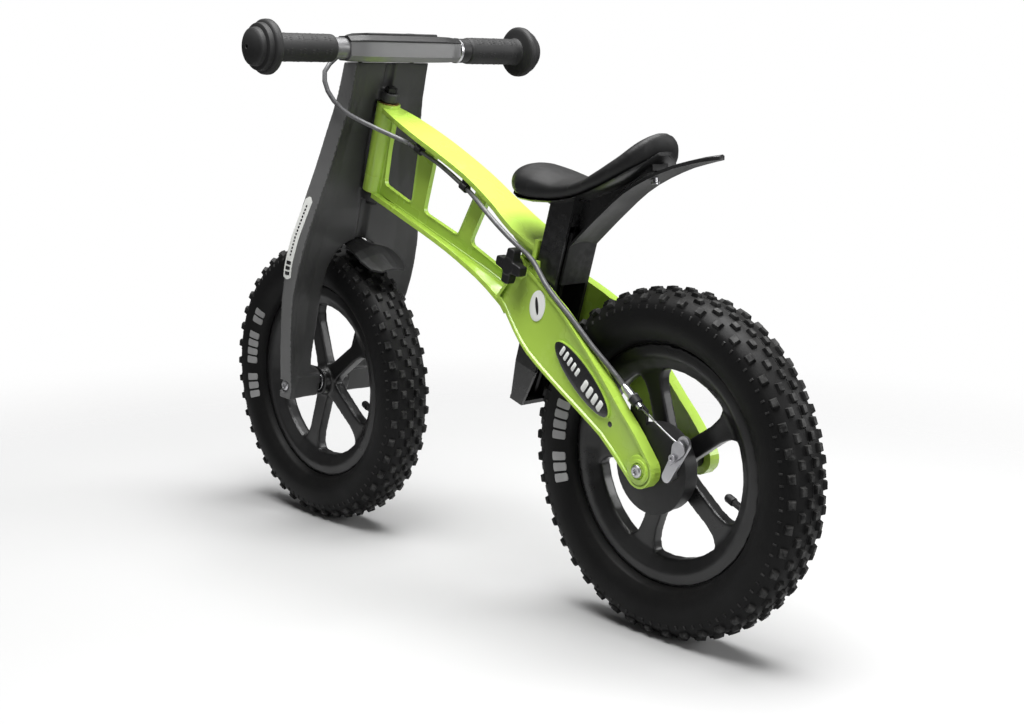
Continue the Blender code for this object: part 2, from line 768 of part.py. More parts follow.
def fork_section(height):
    rear, half, front, valley = interpolate(FORK_SHAPE, height)
    side = [(rear + valley * depth, half * share) for share, depth in VALLEY]
    side.append((rear + valley, GROOVE_HALF_WIDTH + 0.0015))
    side.append((rear + valley + GROOVE_DEPTH, GROOVE_HALF_WIDTH - 0.0010))
    rear_half = [(f, y, height) for f, y in side]
    front_half = [
        (front, 0.55 * half, height),
        (front - 0.0035, half - 0.0020, height),
        (rear + 0.62 * (front - rear), half + 0.0070, height),
    ]
    left = front_half + rear_half
    return left + [(f, -y, h) for f, y, h in reversed(left)]


def wheel_slot():
    """The space for the tyre between the legs: a round arch that narrows again at the feet."""
    foot = AXLE_IN_FORK.z + 0.0175
    tyre_side = TYRE_WIDTH / 2 + 0.0065
    side = [
        (0.0090, ARCH_TOP - 0.0012),
        (0.0185, ARCH_TOP - 0.0055),
        (0.0285, ARCH_TOP - 0.0165),
        (tyre_side, ARCH_TOP - 0.0345),
        (tyre_side, ARCH_TOP - 0.0620),
        (0.0305, foot + 0.0500),
        (0.0305, foot + 0.0060),
        (0.0270, foot),
        (FORK_FOOT_INNER, foot - 0.0020),
        (FORK_FOOT_INNER, foot - 0.1),
    ]
    outline = [(y, h) for y, h in side] + [(-y, h) for y, h in reversed(side)]
    slot = prism(outline, -0.1, 0.1)
    return moved(slot, Matrix.Rotation(math.pi / 2, 4, "Z"))


def build_fork(finishes, steering):
    upright = axis_y_to_z()
    heights = [row[0] for row in FORK_SHAPE]
    stations = []
    for low, high in zip(heights, heights[1:]):
        stations += [low, (low + high) / 2] if high - low > 0.025 else [low]
    body = loft([fork_section(height) for height in [*stations, heights[-1]]])
    lug_low = BARREL_LENGTH / 2 + 0.0015
    lug_high = lug_low + 0.0105
    upper_lug = moved(rod(0.0095, lug_low, lug_high, 20), upright)
    lower_lug = moved(rod(0.0095, -lug_high, -lug_low, 20), upright)
    fillers = [
        block((0.0, -0.0095, lug_low), (0.020, 0.0095, lug_high)),
        block((0.0, -0.0095, -lug_high), (0.020, 0.0095, -lug_low)),
    ]
    feet = [
        block((0.0125, min(side * FORK_FOOT_INNER, side * 0.05), AXLE_IN_FORK.z - 0.0135),
              (0.0305, max(side * FORK_FOOT_INNER, side * 0.05), AXLE_IN_FORK.z + 0.0130))
        for side in (LEFT, RIGHT)
    ]
    pocket = BARREL_RADIUS + 0.0030
    bolt_axis = shift(AXLE_IN_FORK.x, 0, AXLE_IN_FORK.z)
    into_fork = frame_at(HEAD, HEAD_TILT).inverted() @ frame_at(BAR)
    down = axis_y_to_z_down()
    cuts = [
        wheel_slot(),
        moved(rod(pocket, -lug_low, lug_low, 28), upright),
        moved(rod(0.0085, lug_high, lug_high + 0.0120, 20), upright),
        moved(rod(0.0085, -lug_high - 0.0120, -lug_high, 20), upright),
        moved(rod(PIN_RADIUS + GAP, -0.1, 0.1, 16), upright),
        moved(rod(BOLT_RADIUS + GAP, -0.1, 0.1, 16), bolt_axis),
        moved(rod(0.0075, FORK_BOLT_SEAT, 0.1, 20), bolt_axis),
        moved(rod(0.0075, -0.1, -FORK_BOLT_SEAT, 20), bolt_axis),
        moved(block((-0.1, -0.1, -BAR_RADIUS - 0.0020 - GAP), (0.1, 0.1, 0.1)), into_fork),
        moved(rod(0.0025, 0.0, 0.0240, 12), into_fork @ shift(CROWN_BOLT_AHEAD, CROWN_BOLT_SPACING, 0) @ down),
        moved(rod(0.0025, 0.0, 0.0240, 12), into_fork @ shift(CROWN_BOLT_AHEAD, -CROWN_BOLT_SPACING, 0) @ down),
    ]
    shaped = combine("fork", body, [upper_lug, lower_lug, *fillers, *feet], cuts)
    add("fork", shaped, finishes["black"], steering, sharp=25)


def build_mudguard(finishes, steering):
    """The short tongue under the crown that keeps mud off the rider."""
    # Distance along and above the tyre's top, half width, sag of the edges
    path = [
        (0.0040, 0.0158, 0.0150, 0.0042),
        (-0.0150, 0.0158, 0.0165, 0.0048),
        (-0.0270, 0.0180, 0.0220, 0.0060),
        (-0.0396, 0.0203, 0.0262, 0.0070),
        (-0.0537, 0.0171, 0.0272, 0.0072),
        (-0.0690, 0.0122, 0.0235, 0.0060),
        (-0.0781, 0.0092, 0.0150, 0.0030),
    ]
    thickness = 0.0028
    crown = Vector((AXLE_IN_FORK.x, 0, AXLE_IN_FORK.z + TYRE_RADIUS))
    sections = []
    for f, h, half, sag in path:
        top, under = [], []
        for k in range(7):
            share = -1 + k / 3
            drop = sag * share**2
            place = crown + Vector((f, half * share, h - drop))
            top.append(place)
            under.append(place - Vector((-0.0006, 0, thickness)))
        sections.append(top + under[::-1])
    tongue = loft(sections)
    add("front_mudguard", tongue, finishes["soft_black"], steering)


# ---------------------------------------------------------------- handlebar

def clamp_block_section(y, half_height, rear, front, rise):
    """A section of the bar's broad middle, whose top slopes up to the front."""
    return [
        (rear, y, -0.62 * half_height),
        (rear, y, 0.62 * half_height),
        (rear + 0.0050, y, half_height),
        (front - 0.004, y, half_height + rise),
        (front, y, half_height + rise - 0.0030),
        (front, y, -half_height + 0.0030),
        (front - 0.0040, y, -half_height),
        (rear + 0.0050, y, -half_height),
    ]


# Distance from the middle, half height, rear face, front face, rise of the top
CLAMP_BLOCK = [
    (0.0000, BAR_RADIUS + 0.0020, -BAR_RADIUS - 0.0038, BAR_RADIUS + 0.0230, 0.0030),
    (0.0300, BAR_RADIUS + 0.0020, -BAR_RADIUS - 0.0038, BAR_RADIUS + 0.0220, 0.0030),
    (0.0470, BAR_RADIUS + 0.0020, -BAR_RADIUS - 0.0036, BAR_RADIUS + 0.0160, 0.0020),
    (0.0570, BAR_RADIUS + 0.0018, -BAR_RADIUS - 0.0032, BAR_RADIUS + 0.0090, 0.0010),
    (0.0640, BAR_RADIUS + 0.0012, -BAR_RADIUS - 0.0020, BAR_RADIUS + 0.0034, 0.0),
    (CLAMP_BLOCK_HALF_LENGTH, BAR_RADIUS + 0.0009, -BAR_RADIUS - 0.0011, BAR_RADIUS + 0.0014, 0.0),
]
COVER_SEAT = BAR_RADIUS + 0.0016


def build_handlebar(finishes, bar):
    ends = [row[0] for row in CLAMP_BLOCK]
    places = [-y for y in reversed(ends[1:])] + ends
    sections = [clamp_block_section(y, *interpolate(CLAMP_BLOCK, abs(y))) for y in places]
    hole = rod(BAR_RADIUS + GAP, -0.2, 0.2, 28)
    cover_space = block((-0.0085, -0.0460, COVER_SEAT), (0.0302, 0.0460, 0.03))
    screw_holes = []
    for y in (-CROWN_BOLT_SPACING, CROWN_BOLT_SPACING):
        place = shift(CROWN_BOLT_AHEAD, y, 0) @ axis_y_to_z_down()
        screw_holes.append(moved(rod(0.0025, -0.03, 0.03, 12), place))
        screw_holes.append(moved(rod(0.0043, -0.03, -0.0096, 14), place))
    body = combine("bar_clamp", loft(sections), (), [hole, cover_space, *screw_holes])
    add("bar_clamp", body, finishes["bar"], bar)
    cover = rounded([(-0.0082, -0.0457), (0.0299, -0.0457), (0.0299, 0.0457), (-0.0082, 0.0457)], 0.006)
    cover_plate = moved(prism(cover, -0.0032, 0.0), Matrix.Rotation(-math.pi / 2, 4, "X"))
    add("bar_clamp_cover", moved(cover_plate, shift(z=COVER_SEAT + GAP)), finishes["soft_black"], bar)
    bolt = [(0, -0.0122), (0.0040, -0.0122), (0.0040, -0.0099), (0.0022, -0.0099), (0.0022, 0.0230), (0, 0.0230)]
    for name, y in (("crown_bolt_left", CROWN_BOLT_SPACING), ("crown_bolt_right", -CROWN_BOLT_SPACING)):
        place = shift(CROWN_BOLT_AHEAD, y, 0) @ axis_y_to_z_down()
        add(name, moved(turned(bolt, 14), place), finishes["steel"], bar)
    bar_end = HANDLEBAR_LENGTH / 2 - 0.0120
    tube = rod(BAR_RADIUS, -bar_end, bar_end, 28, bore=BAR_RADIUS - BAR_WALL)
    add("handlebar", tube, finishes["bar"], bar)


def grip_profile():
    """A sleeve with a round inner lip and a stepped bumper at its outer end."""
    end = HANDLEBAR_LENGTH / 2
    bore = BAR_RADIUS + GAP
    return [
        (bore, GRIP_INNER_END),
        (GRIP_RADIUS - 0.0012, GRIP_INNER_END),
        (GRIP_RADIUS, GRIP_INNER_END + 0.0030),
        (GRIP_RADIUS, end - 0.0300),
        (BUMPER_RADIUS - 0.0040, end - 0.0275),
        (BUMPER_RADIUS, end - 0.0235),
        (BUMPER_RADIUS - 0.0008, end - 0.0180),
        (BUMPER_RADIUS - 0.0040, end - 0.0160),
        (BUMPER_RADIUS - 0.0045, end - 0.0120),
        (BUMPER_RADIUS - 0.0085, end - 0.0100),
        (BUMPER_RADIUS - 0.0090, end - 0.0055),
        (0.0150, end - 0.0030),
        (0.0095, end),
        (0.0020, end),
        (0.0020, end - 0.0060),
        (0.0, end - 0.0060),
        (0.0, end - 0.0117),
        (bore, end - 0.0117),
    ]


def build_grips(finishes, bar):
    for name, side in (("grip_left", LEFT), ("grip_right", RIGHT)):
        add(name, turned([(r, side * y) for r, y in grip_profile()], 20), finishes["grip"], bar)


# ---------------------------------------------------------------- brake lever and cable

def build_lever_bracket(finishes, bar):
    """The lever's perch: a band round the bar with a smooth nose ahead of it."""
    band = rod(BAR_RADIUS + 0.0018, -0.0874, -0.0768, 28)
    nose_sections = []
    # Distance along the bar, middle ahead of the bar, middle height, half depth, half height
    for y, x, z, depth, height in (
        (-0.0965, 0.0350, 0.0020, 0.0070, 0.0060),
        (-0.0850, 0.0350, 0.0040, 0.0105, 0.0085),
        (-0.0650, 0.0390, 0.0070, 0.0115, 0.0105),
        (-0.0450, 0.0460, 0.0080, 0.0105, 0.0105),
        (-0.0300, 0.0500, 0.0080, 0.0085, 0.0085),
        (-0.0180, 0.0520, 0.0080, 0.0055, 0.0055),
    ):
        nose_sections.append([(x + depth * c, y, z + height * s) for c, s in circle(1, 14)])
    neck = block((0.0060, -0.0868, -0.0055), (0.0350, -0.0770, 0.0085))
    slot = block((0.0300, -0.1100, -0.0006), (0.0600, -0.0790, 0.0090))
    pin_hole = moved(rod(0.0020 + GAP, -0.03, 0.03, 12), shift(0.0360, -0.0860, 0) @ axis_y_to_z())
    cuts = [rod(BAR_RADIUS + GAP, -0.2, 0.0, 28), slot, pin_hole]
    cuts.append(moved(rod(0.0032, -0.0240, -0.0100, 12), shift(0.0520, 0, 0.0080)))
    shaped = combine("bracket", band, [loft(nose_sections), neck], cuts)
    add("brake_lever_bracket", shaped, finishes["soft_black"], bar)
    return rod(BAR_RADIUS + 0.0023, -0.0762, -0.0726, 28, bore=BAR_RADIUS + GAP)


def build_lever(finishes, lever):
    """The two-finger blade, in the lever pivot's own axes."""
    boss = moved(rod(0.0052, -0.0021, 0.0061, 16), Matrix.Rotation(math.pi / 2, 4, "X"))
    bmesh.ops.recalc_face_normals(boss, faces=boss.faces)
    sections = []
    # Distance outwards, distance ahead, half depth, half height
    for y, x, depth, height in (
        (0.0020, 0.0010, 0.0042, 0.0036),
        (-0.0120, 0.0080, 0.0040, 0.0036),
        (-0.0260, 0.0120, 0.0036, 0.0048),
        (-0.0480, 0.0115, 0.0034, 0.0055),
        (-0.0660, 0.0135, 0.0034, 0.0052),
        (-0.0740, 0.0165, 0.0036, 0.0040),
    ):
        sections.append([(x + depth * c, y, 0.0020 + height * s) for c, s in circle(1, 10)])
    hole = moved(rod(0.0020 + GAP, -0.03, 0.03, 12), axis_y_to_z())
    add("brake_lever", combine("lever", boss, [loft(sections)], [hole]), finishes["soft_black"], lever)


CLIP_SHARES = (0.722, 0.432)
CABLE_FREE = [
    (0.0520, -0.0172, 0.0080),
    (0.0520, 0.0050, 0.0070),
    (0.0490, 0.0330, 0.0010),
    (0.0430, 0.0520, -0.0090),
]


def build_cables(finishes):
    """The housing from the lever to the brake: a free loop past the head, then clipped to the frame."""
    start = [BAR + Vector(p) for p in CABLE_FREE]
    loop_tail = [
        HEAD + Vector((0.0085, 0.0660, 0.0790)),
        HEAD + Vector((0.0035, 0.0660, 0.0590)),
        HEAD + Vector((-0.0140, 0.0600, 0.0400)),
        HEAD + Vector((-0.0380, 0.0470, 0.0260)),
    ]
    clip_1, clip_2 = (clip_matrix(along) for along in CLIP_SHARES)
    loop_end = clip_1 @ Vector((0.0165, 0.0030, 0.0002))
    add_cord("brake_cable_loop", [*start, *loop_tail, loop_end], CABLE_RADIUS, 0.0110, finishes["cable"])
    stop = adjuster_matrix()
    route = [
        clip_1 @ Vector((0.0150, 0.0026, 0.0002)),
        clip_1 @ Vector((0.0055, 0.0, 0.0)),
        clip_1 @ Vector((-0.0055, 0.0, 0.0)),
        (clip_1 @ Vector() + clip_2 @ Vector()) / 2 + Vector((0, 0.0004, 0.0022)),
        clip_2 @ Vector((0.0055, 0.0, 0.0)),
        clip_2 @ Vector((-0.0055, 0.0, 0.0)),
        Vector((*beam(0.345, 0.0240), 0.0178)).xzy,
        Vector((*beam(0.270, 0.0222), 0.0224)).xzy,
        Vector((*beam(0.185, 0.0192), 0.0256)).xzy,
        Vector((*beam(0.100, 0.0160), 0.0272)).xzy,
        Vector((KNOB_AXIS.x - 0.0010, 0.0285, KNOB_AXIS.z + 0.0158)),
        Vector((KNOB_AXIS.x - 0.0225, 0.0322, KNOB_AXIS.z + 0.0062)),
        Vector((*arm(0.850, 0.0184), 0.0354)).xzy,
        Vector((*arm(0.760, 0.0224), 0.0388)).xzy,
        Vector((*arm(0.640, 0.0266), 0.0398)).xzy,
        Vector((*arm(0.500, 0.0280), 0.0384)).xzy,
        Vector((*arm(0.400, 0.0300), 0.0366)).xzy,
        stop @ Vector((0, 0.0300, 0)),
        stop @ Vector((0, 0.0165 + GAP, 0)),
    ]
    add_cord("brake_cable_housing", route, CABLE_RADIUS, 0.0110, finishes["cable"])


def clip_matrix(along):
    """Axes of a clip that holds the housing under the top flange, with X along the flange."""
    edge = interpolate(TOP_FLANGE, along)[0]
    ahead = Vector(beam(along + 0.03, interpolate(TOP_FLANGE, along + 0.03)[0]))
    behind = Vector(beam(along - 0.03, interpolate(TOP_FLANGE, along - 0.03)[0]))
    slope = math.atan2(ahead.y - behind.y, ahead.x - behind.x)
    top_x, top_z = beam(along, edge)
    return shift(top_x, 0.0135, top_z) @ Matrix.Rotation(-slope, 4, "Y") @ shift(z=-0.0134)


def build_clips(finishes):
    """Clips that hang from the flange and wrap the housing."""
    lengthwise = Matrix.Rotation(math.pi / 2, 4, "Z")
    for name, along in zip(("cable_clip_front", "cable_clip_rear"), CLIP_SHARES):
        band = moved(rod(0.0046, -0.0045, 0.0045, 16), lengthwise)
        stem = block((-0.0040, -0.0026, 0.0034), (0.0040, 0.0026, 0.0134 - FLANGE_THICKNESS - GAP))
        hole = moved(rod(CABLE_RADIUS + GAP, -0.02, 0.02, 12), lengthwise)
        add(name, moved(combine("clip", band, [stem], [hole]), clip_matrix(along)), finishes["soft_black"])


# ---------------------------------------------------------------- rear brake

BRACKET_LEAN = math.radians(37)


def adjuster_matrix():
    """Axes at the cable stop whose +Y runs up along the housing."""
    stop = REAR_AXLE + Vector((0.0165, 0.0345, 0.0610))
    pull = Vector((math.cos(BRACKET_LEAN), -0.03, math.sin(BRACKET_LEAN))).normalized()
    side = UP.cross(pull).normalized()
    top = side.cross(pull)
    return Matrix.Translation(stop) @ Matrix((side, pull, top)).transposed().to_4x4()


def build_brake_frame_side(finishes):
    """Cover plate with its cable bracket, shoes, cable stop and adjuster: all stay with the frame."""
    at_axle = shift(REAR_AXLE.x, 0, REAR_AXLE.z)
    cover = turned(
        [
            (AXLE_RADIUS + GAP, 0.0268),
            (BRAKE_COVER_RADIUS, 0.0268),
            (BRAKE_COVER_RADIUS, 0.0292),
            (BRAKE_COVER_RADIUS - 0.0040, 0.0318),
            (0.0150, 0.0327),
            (AXLE_RADIUS + GAP, 0.0327),
        ],
        40,
    )
    outline = [(0.004, 0.034), (0.026, 0.030), (0.0230, 0.0540), (0.0140, 0.0590), (0.0040, 0.0520)]
    bracket = prism(outline, 0.0285, 0.0318)
    stop = adjuster_matrix()
    local = at_axle.inverted() @ stop
    cup = moved(rod(0.0052, -0.0060, 0.0012, 14), local)
    cam_hole = moved(rod(0.0042, 0.02, 0.04, 16), shift(x=-CAM_RADIUS))
    bolt_hole = moved(rod(0.0030 + GAP, -0.03, 0.03, 12), local)
    plate = combine("brake_cover", cover, [bracket, cup], [cam_hole, bolt_hole])
    add("brake_cover", moved(plate, at_axle), finishes["soft_black"])
    barrel = turned([(0.0012, -0.0110), (0.0030, -0.0110), (0.0030, 0.0034), (0.0040, 0.0034),
                     (0.0040, 0.0120), (0.0032, 0.0165), (0.0012, 0.0165)], 12)
    add("cable_adjuster", moved(barrel, stop), finishes["silver"])
    nut = combine("nut", prism(circle(0.0056, 6), 0.0015, 0.0031), (), [rod(0.0030 + GAP, -0.01, 0.02, 12)])
    add("adjuster_lock_nut", moved(nut, stop), finishes["silver"])
    for name, side in (("brake_shoe_upper", 1), ("brake_shoe_lower", -1)):
        outer = DRUM_RADIUS - DRUM_WALL - 0.0008
        angles = [math.radians(14 + 152 * k / 14) for k in range(15)]
        outline = [(outer * math.cos(a), side * outer * math.sin(a)) for a in angles]
        inner = outer - 0.0085
        outline += [(inner * math.cos(a), side * inner * math.sin(a)) for a in reversed(angles)]
        add(name, moved(prism(outline, 0.0150, 0.0258), at_axle), finishes["lining"])


def build_brake_arm(finishes, cam):
    """The arm with its cam, in the cam's own axes."""
    shaft = rod(0.0038, 0.0155, 0.0405, 16)
    cam_block = block((-0.0045, 0.0155, -0.0042), (0.0045, 0.0255, 0.0042))
    tip = Vector((-0.0190, 0.0, 0.0330))
    along = tip.normalized()
    across = Vector((along.z, 0, -along.x))
    outline = []
    for k in range(9):
        angle = math.pi * k / 8
        place = tip + 0.0068 * (across * math.cos(angle) + along * math.sin(angle))
        outline.append((place.x, place.z))
    for k in range(9):
        angle = math.pi + math.pi * k / 8
        place = 0.0052 * (across * math.cos(angle) + along * math.sin(angle))
        outline.append((place.x, place.z))
    plate = prism(outline, 0.0395, 0.0425)
    bolt_at = tip * 0.60
    hole = moved(rod(0.0020 + GAP, 0.03, 0.05, 12), shift(bolt_at.x, 0, bolt_at.z))
    add("brake_arm", combine("arm", shaft, [cam_block, plate], [hole]), finishes["silver"], cam)
    washer_outline = []
    for k in range(11):
        angle = math.pi * (-0.15 + 1.3 * k / 10)
        place = tip * 0.86 + 0.0072 * (across * math.cos(angle) + along * math.sin(angle))
        washer_outline.append((place.x, place.z))
    washer_outline.append((bolt_at.x * 0.62, bolt_at.z * 0.62))
    hole = moved(rod(0.0020 + GAP, 0.03, 0.06, 12), shift(bolt_at.x, 0, bolt_at.z))
    washer = combine("washer", prism(washer_outline, 0.0447, 0.0464), (), [hole])
    add("cable_pinch_plate", washer, finishes["silver"], cam)
    bolt = turned([(0, 0.0360), (0.0020, 0.0360), (0.0020, 0.0467), (0.0036, 0.0467), (0.0036, 0.0490),
                   (0.0018, 0.0490), (0.0018, 0.0477), (0, 0.0477)], 14)
    add("cable_pinch_bolt", moved(bolt, shift(bolt_at.x, 0, bolt_at.z)), finishes["steel"], cam)


def build_wire(finishes):
    """The bare inner wire between the adjuster and the pinch plate."""
    start = adjuster_matrix() @ Vector((0, -0.0114, 0))
    edge = CAM_PIVOT + Vector((-0.0085, 0.0436, 0.0352))
    end = CAM_PIVOT + Vector((-0.0165, 0.0436, 0.0322))
    add_cord("brake_wire", [start, start * 0.5 + edge * 0.5, edge, end], WIRE_RADIUS, 0.012, finishes["steel"])


def build_drum(finishes, rear):
    """The drum bolted to the left of the rear hub."""
    profile = [
        (HUB_RADIUS - 0.0015, HUB_HALF_LENGTH - 0.0055 + GAP),
        (DRUM_RADIUS, HUB_HALF_LENGTH - 0.0055 + GAP),
        (DRUM_RADIUS, 0.0262),
        (DRUM_RADIUS - DRUM_WALL, 0.0262),
        (DRUM_RADIUS - DRUM_WALL, 0.0142),
        (HUB_RADIUS - 0.0015, 0.0142),
    ]
    add("brake_drum", turned(profile, 40), finishes["steel"], rear)


# ---------------------------------------------------------------- seat

def post_section(height):
    """The U-shaped post, open to the rear, which narrows and gets shallower at its tip."""
    taper = max(0.0, (-POST_BELOW + 0.042 - height) / 0.042)
    half = POST_HALF_WIDTH - 0.0045 * taper
    rear = -POST_HALF_DEPTH + 0.0130 * taper
    front, wall = POST_HALF_DEPTH, POST_WALL
    left = [
        (front, half - 0.0030),
        (front - 0.0030, half),
        (rear, half),
        (rear, half - wall),
        (front - wall - 0.0020, half - wall),
        (front - wall, half - wall - 0.0020),
    ]
    section = [(x, -y, height) for x, y in reversed(left)]
    return [(x, y, height) for x, y in left][::-1] + section[::-1]


def build_post(finishes, seat):
    heights = [-POST_BELOW, -POST_BELOW + 0.021, -POST_BELOW + 0.042, 0.0, POST_ABOVE]
    body = loft([post_section(height) for height in heights])
    half = POST_HALF_WIDTH - 0.0060
    floor = block((-0.0020, -half, -POST_BELOW - 0.0010), (POST_HALF_DEPTH - 0.0004, half, -POST_BELOW + 0.0030))
    shaped = combine("post", body, [floor])
    add("seat_post", shaped, finishes["soft_black"], seat)


# Distance behind the nose's tip, top of the middle, height of the side crease, underside, half width
SADDLE_SHAPE = [
    (0.0000, 0.4085, 0.4050, 0.4010, 0.0100),
    (0.0035, 0.4160, 0.4040, 0.3960, 0.0200),
    (0.0100, 0.4205, 0.4028, 0.3905, 0.0285),
    (0.0220, 0.4222, 0.4018, 0.3875, 0.0345),
    (0.0420, 0.4180, 0.4000, 0.3862, 0.0365),
    (0.0700, 0.4092, 0.3995, 0.3868, 0.0350),
    (0.0950, 0.4085, 0.4030, 0.3905, 0.0365),
    (0.1150, 0.4150, 0.4075, 0.3960, 0.0390),
    (0.1350, 0.4260, 0.4150, 0.4030, 0.0405),
    (0.1540, 0.4385, 0.4235, 0.4120, 0.0385),
    (0.1680, 0.4500, 0.4320, 0.4205, 0.0325),
    (0.1770, 0.4545, 0.4400, 0.4275, 0.0225),
    (0.1815, 0.4520, 0.4440, 0.4340, 0.0110),
]
SADDLE_NOSE_AHEAD_OF_POST = 0.0530
SADDLE_TOP_REFERENCE = 0.3250
SHELL_THICKNESS = 0.0040
STRUT_SHARE = 0.56


def saddle_section(distance, inset, from_height, to_height):
    """A section across the saddle between two shares of its height, 0 underside and 1 top."""
    top, crease, under, half = interpolate(SADDLE_SHAPE, distance)
    lift = POST.z - SADDLE_TOP_REFERENCE
    x = POST.x + SADDLE_NOSE_AHEAD_OF_POST - distance
    half -= inset
    points = []
    for k in range(9):
        angle = math.pi * k / 8
        points.append((x, half * math.cos(angle), to_height(top, crease, under, math.sin(angle)) + lift))
    for share in (-0.88, -0.45, 0.0, 0.45, 0.88):
        points.append((x, half * share, from_height(top, crease, under, abs(share)) + lift))
    return points


def shell_underside(x):
    """Height of the saddle's underside above a place x."""
    distance = POST.x + SADDLE_NOSE_AHEAD_OF_POST - x
    return interpolate(SADDLE_SHAPE, distance)[2] + POST.z - SADDLE_TOP_REFERENCE


def saddle_boss(seat_world):
    """Carries the post's own outline on up into the shell."""
    outline, top = [], []
    for x in (-POST_HALF_DEPTH, POST_HALF_DEPTH):
        foot = seat_world @ Vector((x, 0, POST_ABOVE + GAP))
        reach = shell_underside(foot.x) + 0.0018 - foot.z
        head = foot + (seat_world.to_3x3() @ Vector((0, 0, 1))) * reach / math.cos(POST_TILT)
        outline.append((foot.x, foot.z))
        top.append((head.x, head.z))
    return prism(outline + top[::-1], -POST_HALF_WIDTH, POST_HALF_WIDTH)


def saddle_rib(seat_world):
    """The wall between the shell and the tail guard, from the post to the guard's screw."""
    foot = seat_world @ Vector((-POST_HALF_DEPTH - 0.0046, 0, 0.0440))
    head = seat_world @ Vector((-POST_HALF_DEPTH + 0.0010, 0, POST_ABOVE + 0.0010))
    end = wing_place(STRUT_SHARE)[1] - 0.0055
    upper, lower = [], []
    for k in range(7):
        x = head.x + (end - head.x) * k / 6
        upper.append((x, shell_underside(x) + 0.0018))
    share = 0.060
    while share <= STRUT_SHARE + 0.045:
        z, x, _ = wing_place(share)
        lower.append((x, z + 0.0052))
        share += 0.060
    lower = [point for point in lower if foot.x - 0.002 > point[0] > end + 0.002]
    z_end = wing_place(STRUT_SHARE)[0] + 0.0070
    return prism([(foot.x, foot.z), (head.x, head.z), *upper, (end, z_end), *lower[::-1]], -0.0100, 0.0100)


def build_saddle(finishes, seat, seat_world):
    stations = [row[0] for row in SADDLE_SHAPE]
    into_seat = seat_world.inverted()
    pad = loft([
        saddle_section(
            d, 0.0,
            lambda top, crease, under, share: under + SHELL_THICKNESS + GAP,
            lambda top, crease, under, share: crease + (top - crease) * share**0.8,
        )
        for d in stations
    ])
    add("saddle_pad", moved(pad, into_seat), finishes["soft_black"], seat)
    shell = loft([
        saddle_section(
            d, 0.0030 if 0.002 < d < 0.18 else 0.0015,
            lambda top, crease, under, share: under + 0.0012 * share**2,
            lambda top, crease, under, share: under + SHELL_THICKNESS - 0.0012 * (1 - share),
        )
        for d in stations
    ])
    depth, half = POST_HALF_DEPTH + GAP, POST_HALF_WIDTH + GAP
    post_top = moved(block((-depth, -half, -0.05), (depth, half, POST_ABOVE + GAP)), seat_world)
    wing_z, wing_x, _ = wing_place(STRUT_SHARE)
    screw_hole = moved(rod(0.0021 + GAP, -0.02, 0.02, 12), shift(wing_x, 0, wing_z) @ axis_y_to_z())
    unions = [saddle_boss(seat_world), saddle_rib(seat_world)]
    shaped = combine("shell", shell, unions, [post_top, screw_hole])
    inner = POST_WALL + 0.0013
    plug = block(
        (-POST_HALF_DEPTH, -POST_HALF_WIDTH + inner, POST_ABOVE - 0.0120),
        (POST_HALF_DEPTH - inner, POST_HALF_WIDTH - inner, POST_ABOVE + 0.0010),
    )
    shaped = combine("shell", shaped, [moved(plug, seat_world)])
    add("saddle_shell", moved(shaped, into_seat), finishes["black"], seat)


# Share of the wing's length: distance behind the post, height above the clamp, half width
WING_SHAPE = [
    (0.00, 0.0270, 0.0250, 0.0172),
    (0.20, 0.0600, 0.0520, 0.0172),
    (0.45, 0.0990, 0.0800, 0.0165),
    (0.70, 0.1420, 0.0985, 0.0150),
    (0.90, 0.1760, 0.1070, 0.0125),
    (0.97, 0.1890, 0.1092, 0.0085),
    (1.00, 0.1940, 0.1100, 0.0030),
]


def wing_place(share):
    back, rise, half = interpolate(WING_SHAPE, share)
    return POST.z + rise, POST.x - back, half


def build_wing(finishes, seat, seat_world):
    """The tail guard: a thin arched blade from the post to behind the saddle."""
    thickness = 0.0030
    sections = []
    for share in [k / 12 for k in range(12)] + [0.97, 1.0]:
        z, x, half = wing_place(share)
        upper, lower = [], []
        for k in range(7):
            across = -1 + k / 3
            sag = 0.0030 * across**2 * (1 - 0.5 * share)
            upper.append((x, half * across, z + thickness - sag))
            lower.append((x, half * across, z - sag))
        sections.append(upper + lower[::-1])
    blade = loft(sections)
    foot_z, foot_x, _ = wing_place(0.0)
    tongue = moved(
        block((-POST_HALF_DEPTH - 0.0034, -0.0172, -0.0100), (-POST_HALF_DEPTH - GAP, 0.0172, 0.0420)),
        seat_world,
    )
    screw_hole_z, screw_hole_x, _ = wing_place(STRUT_SHARE)
    hole = moved(rod(0.0024, -0.02, 0.02, 12), shift(screw_hole_x, 0, screw_hole_z) @ axis_y_to_z())
    shaped = combine("wing", blade, [tongue], [hole])
    add("tail_guard", moved(shaped, seat_world.inverted()), finishes["soft_black"], seat)
    profile = [(0, -0.0052), (0.0042, -0.0052), (0.0042, -0.0033), (0.0021, -0.0033), (0.0021, 0.0110), (0, 0.0110)]
    screw = turned(profile, 14)
    placed = shift(screw_hole_x, 0, screw_hole_z) @ axis_y_to_z()
    add("tail_guard_screw", moved(moved(screw, placed), seat_world.inverted()), finishes["steel"], seat)


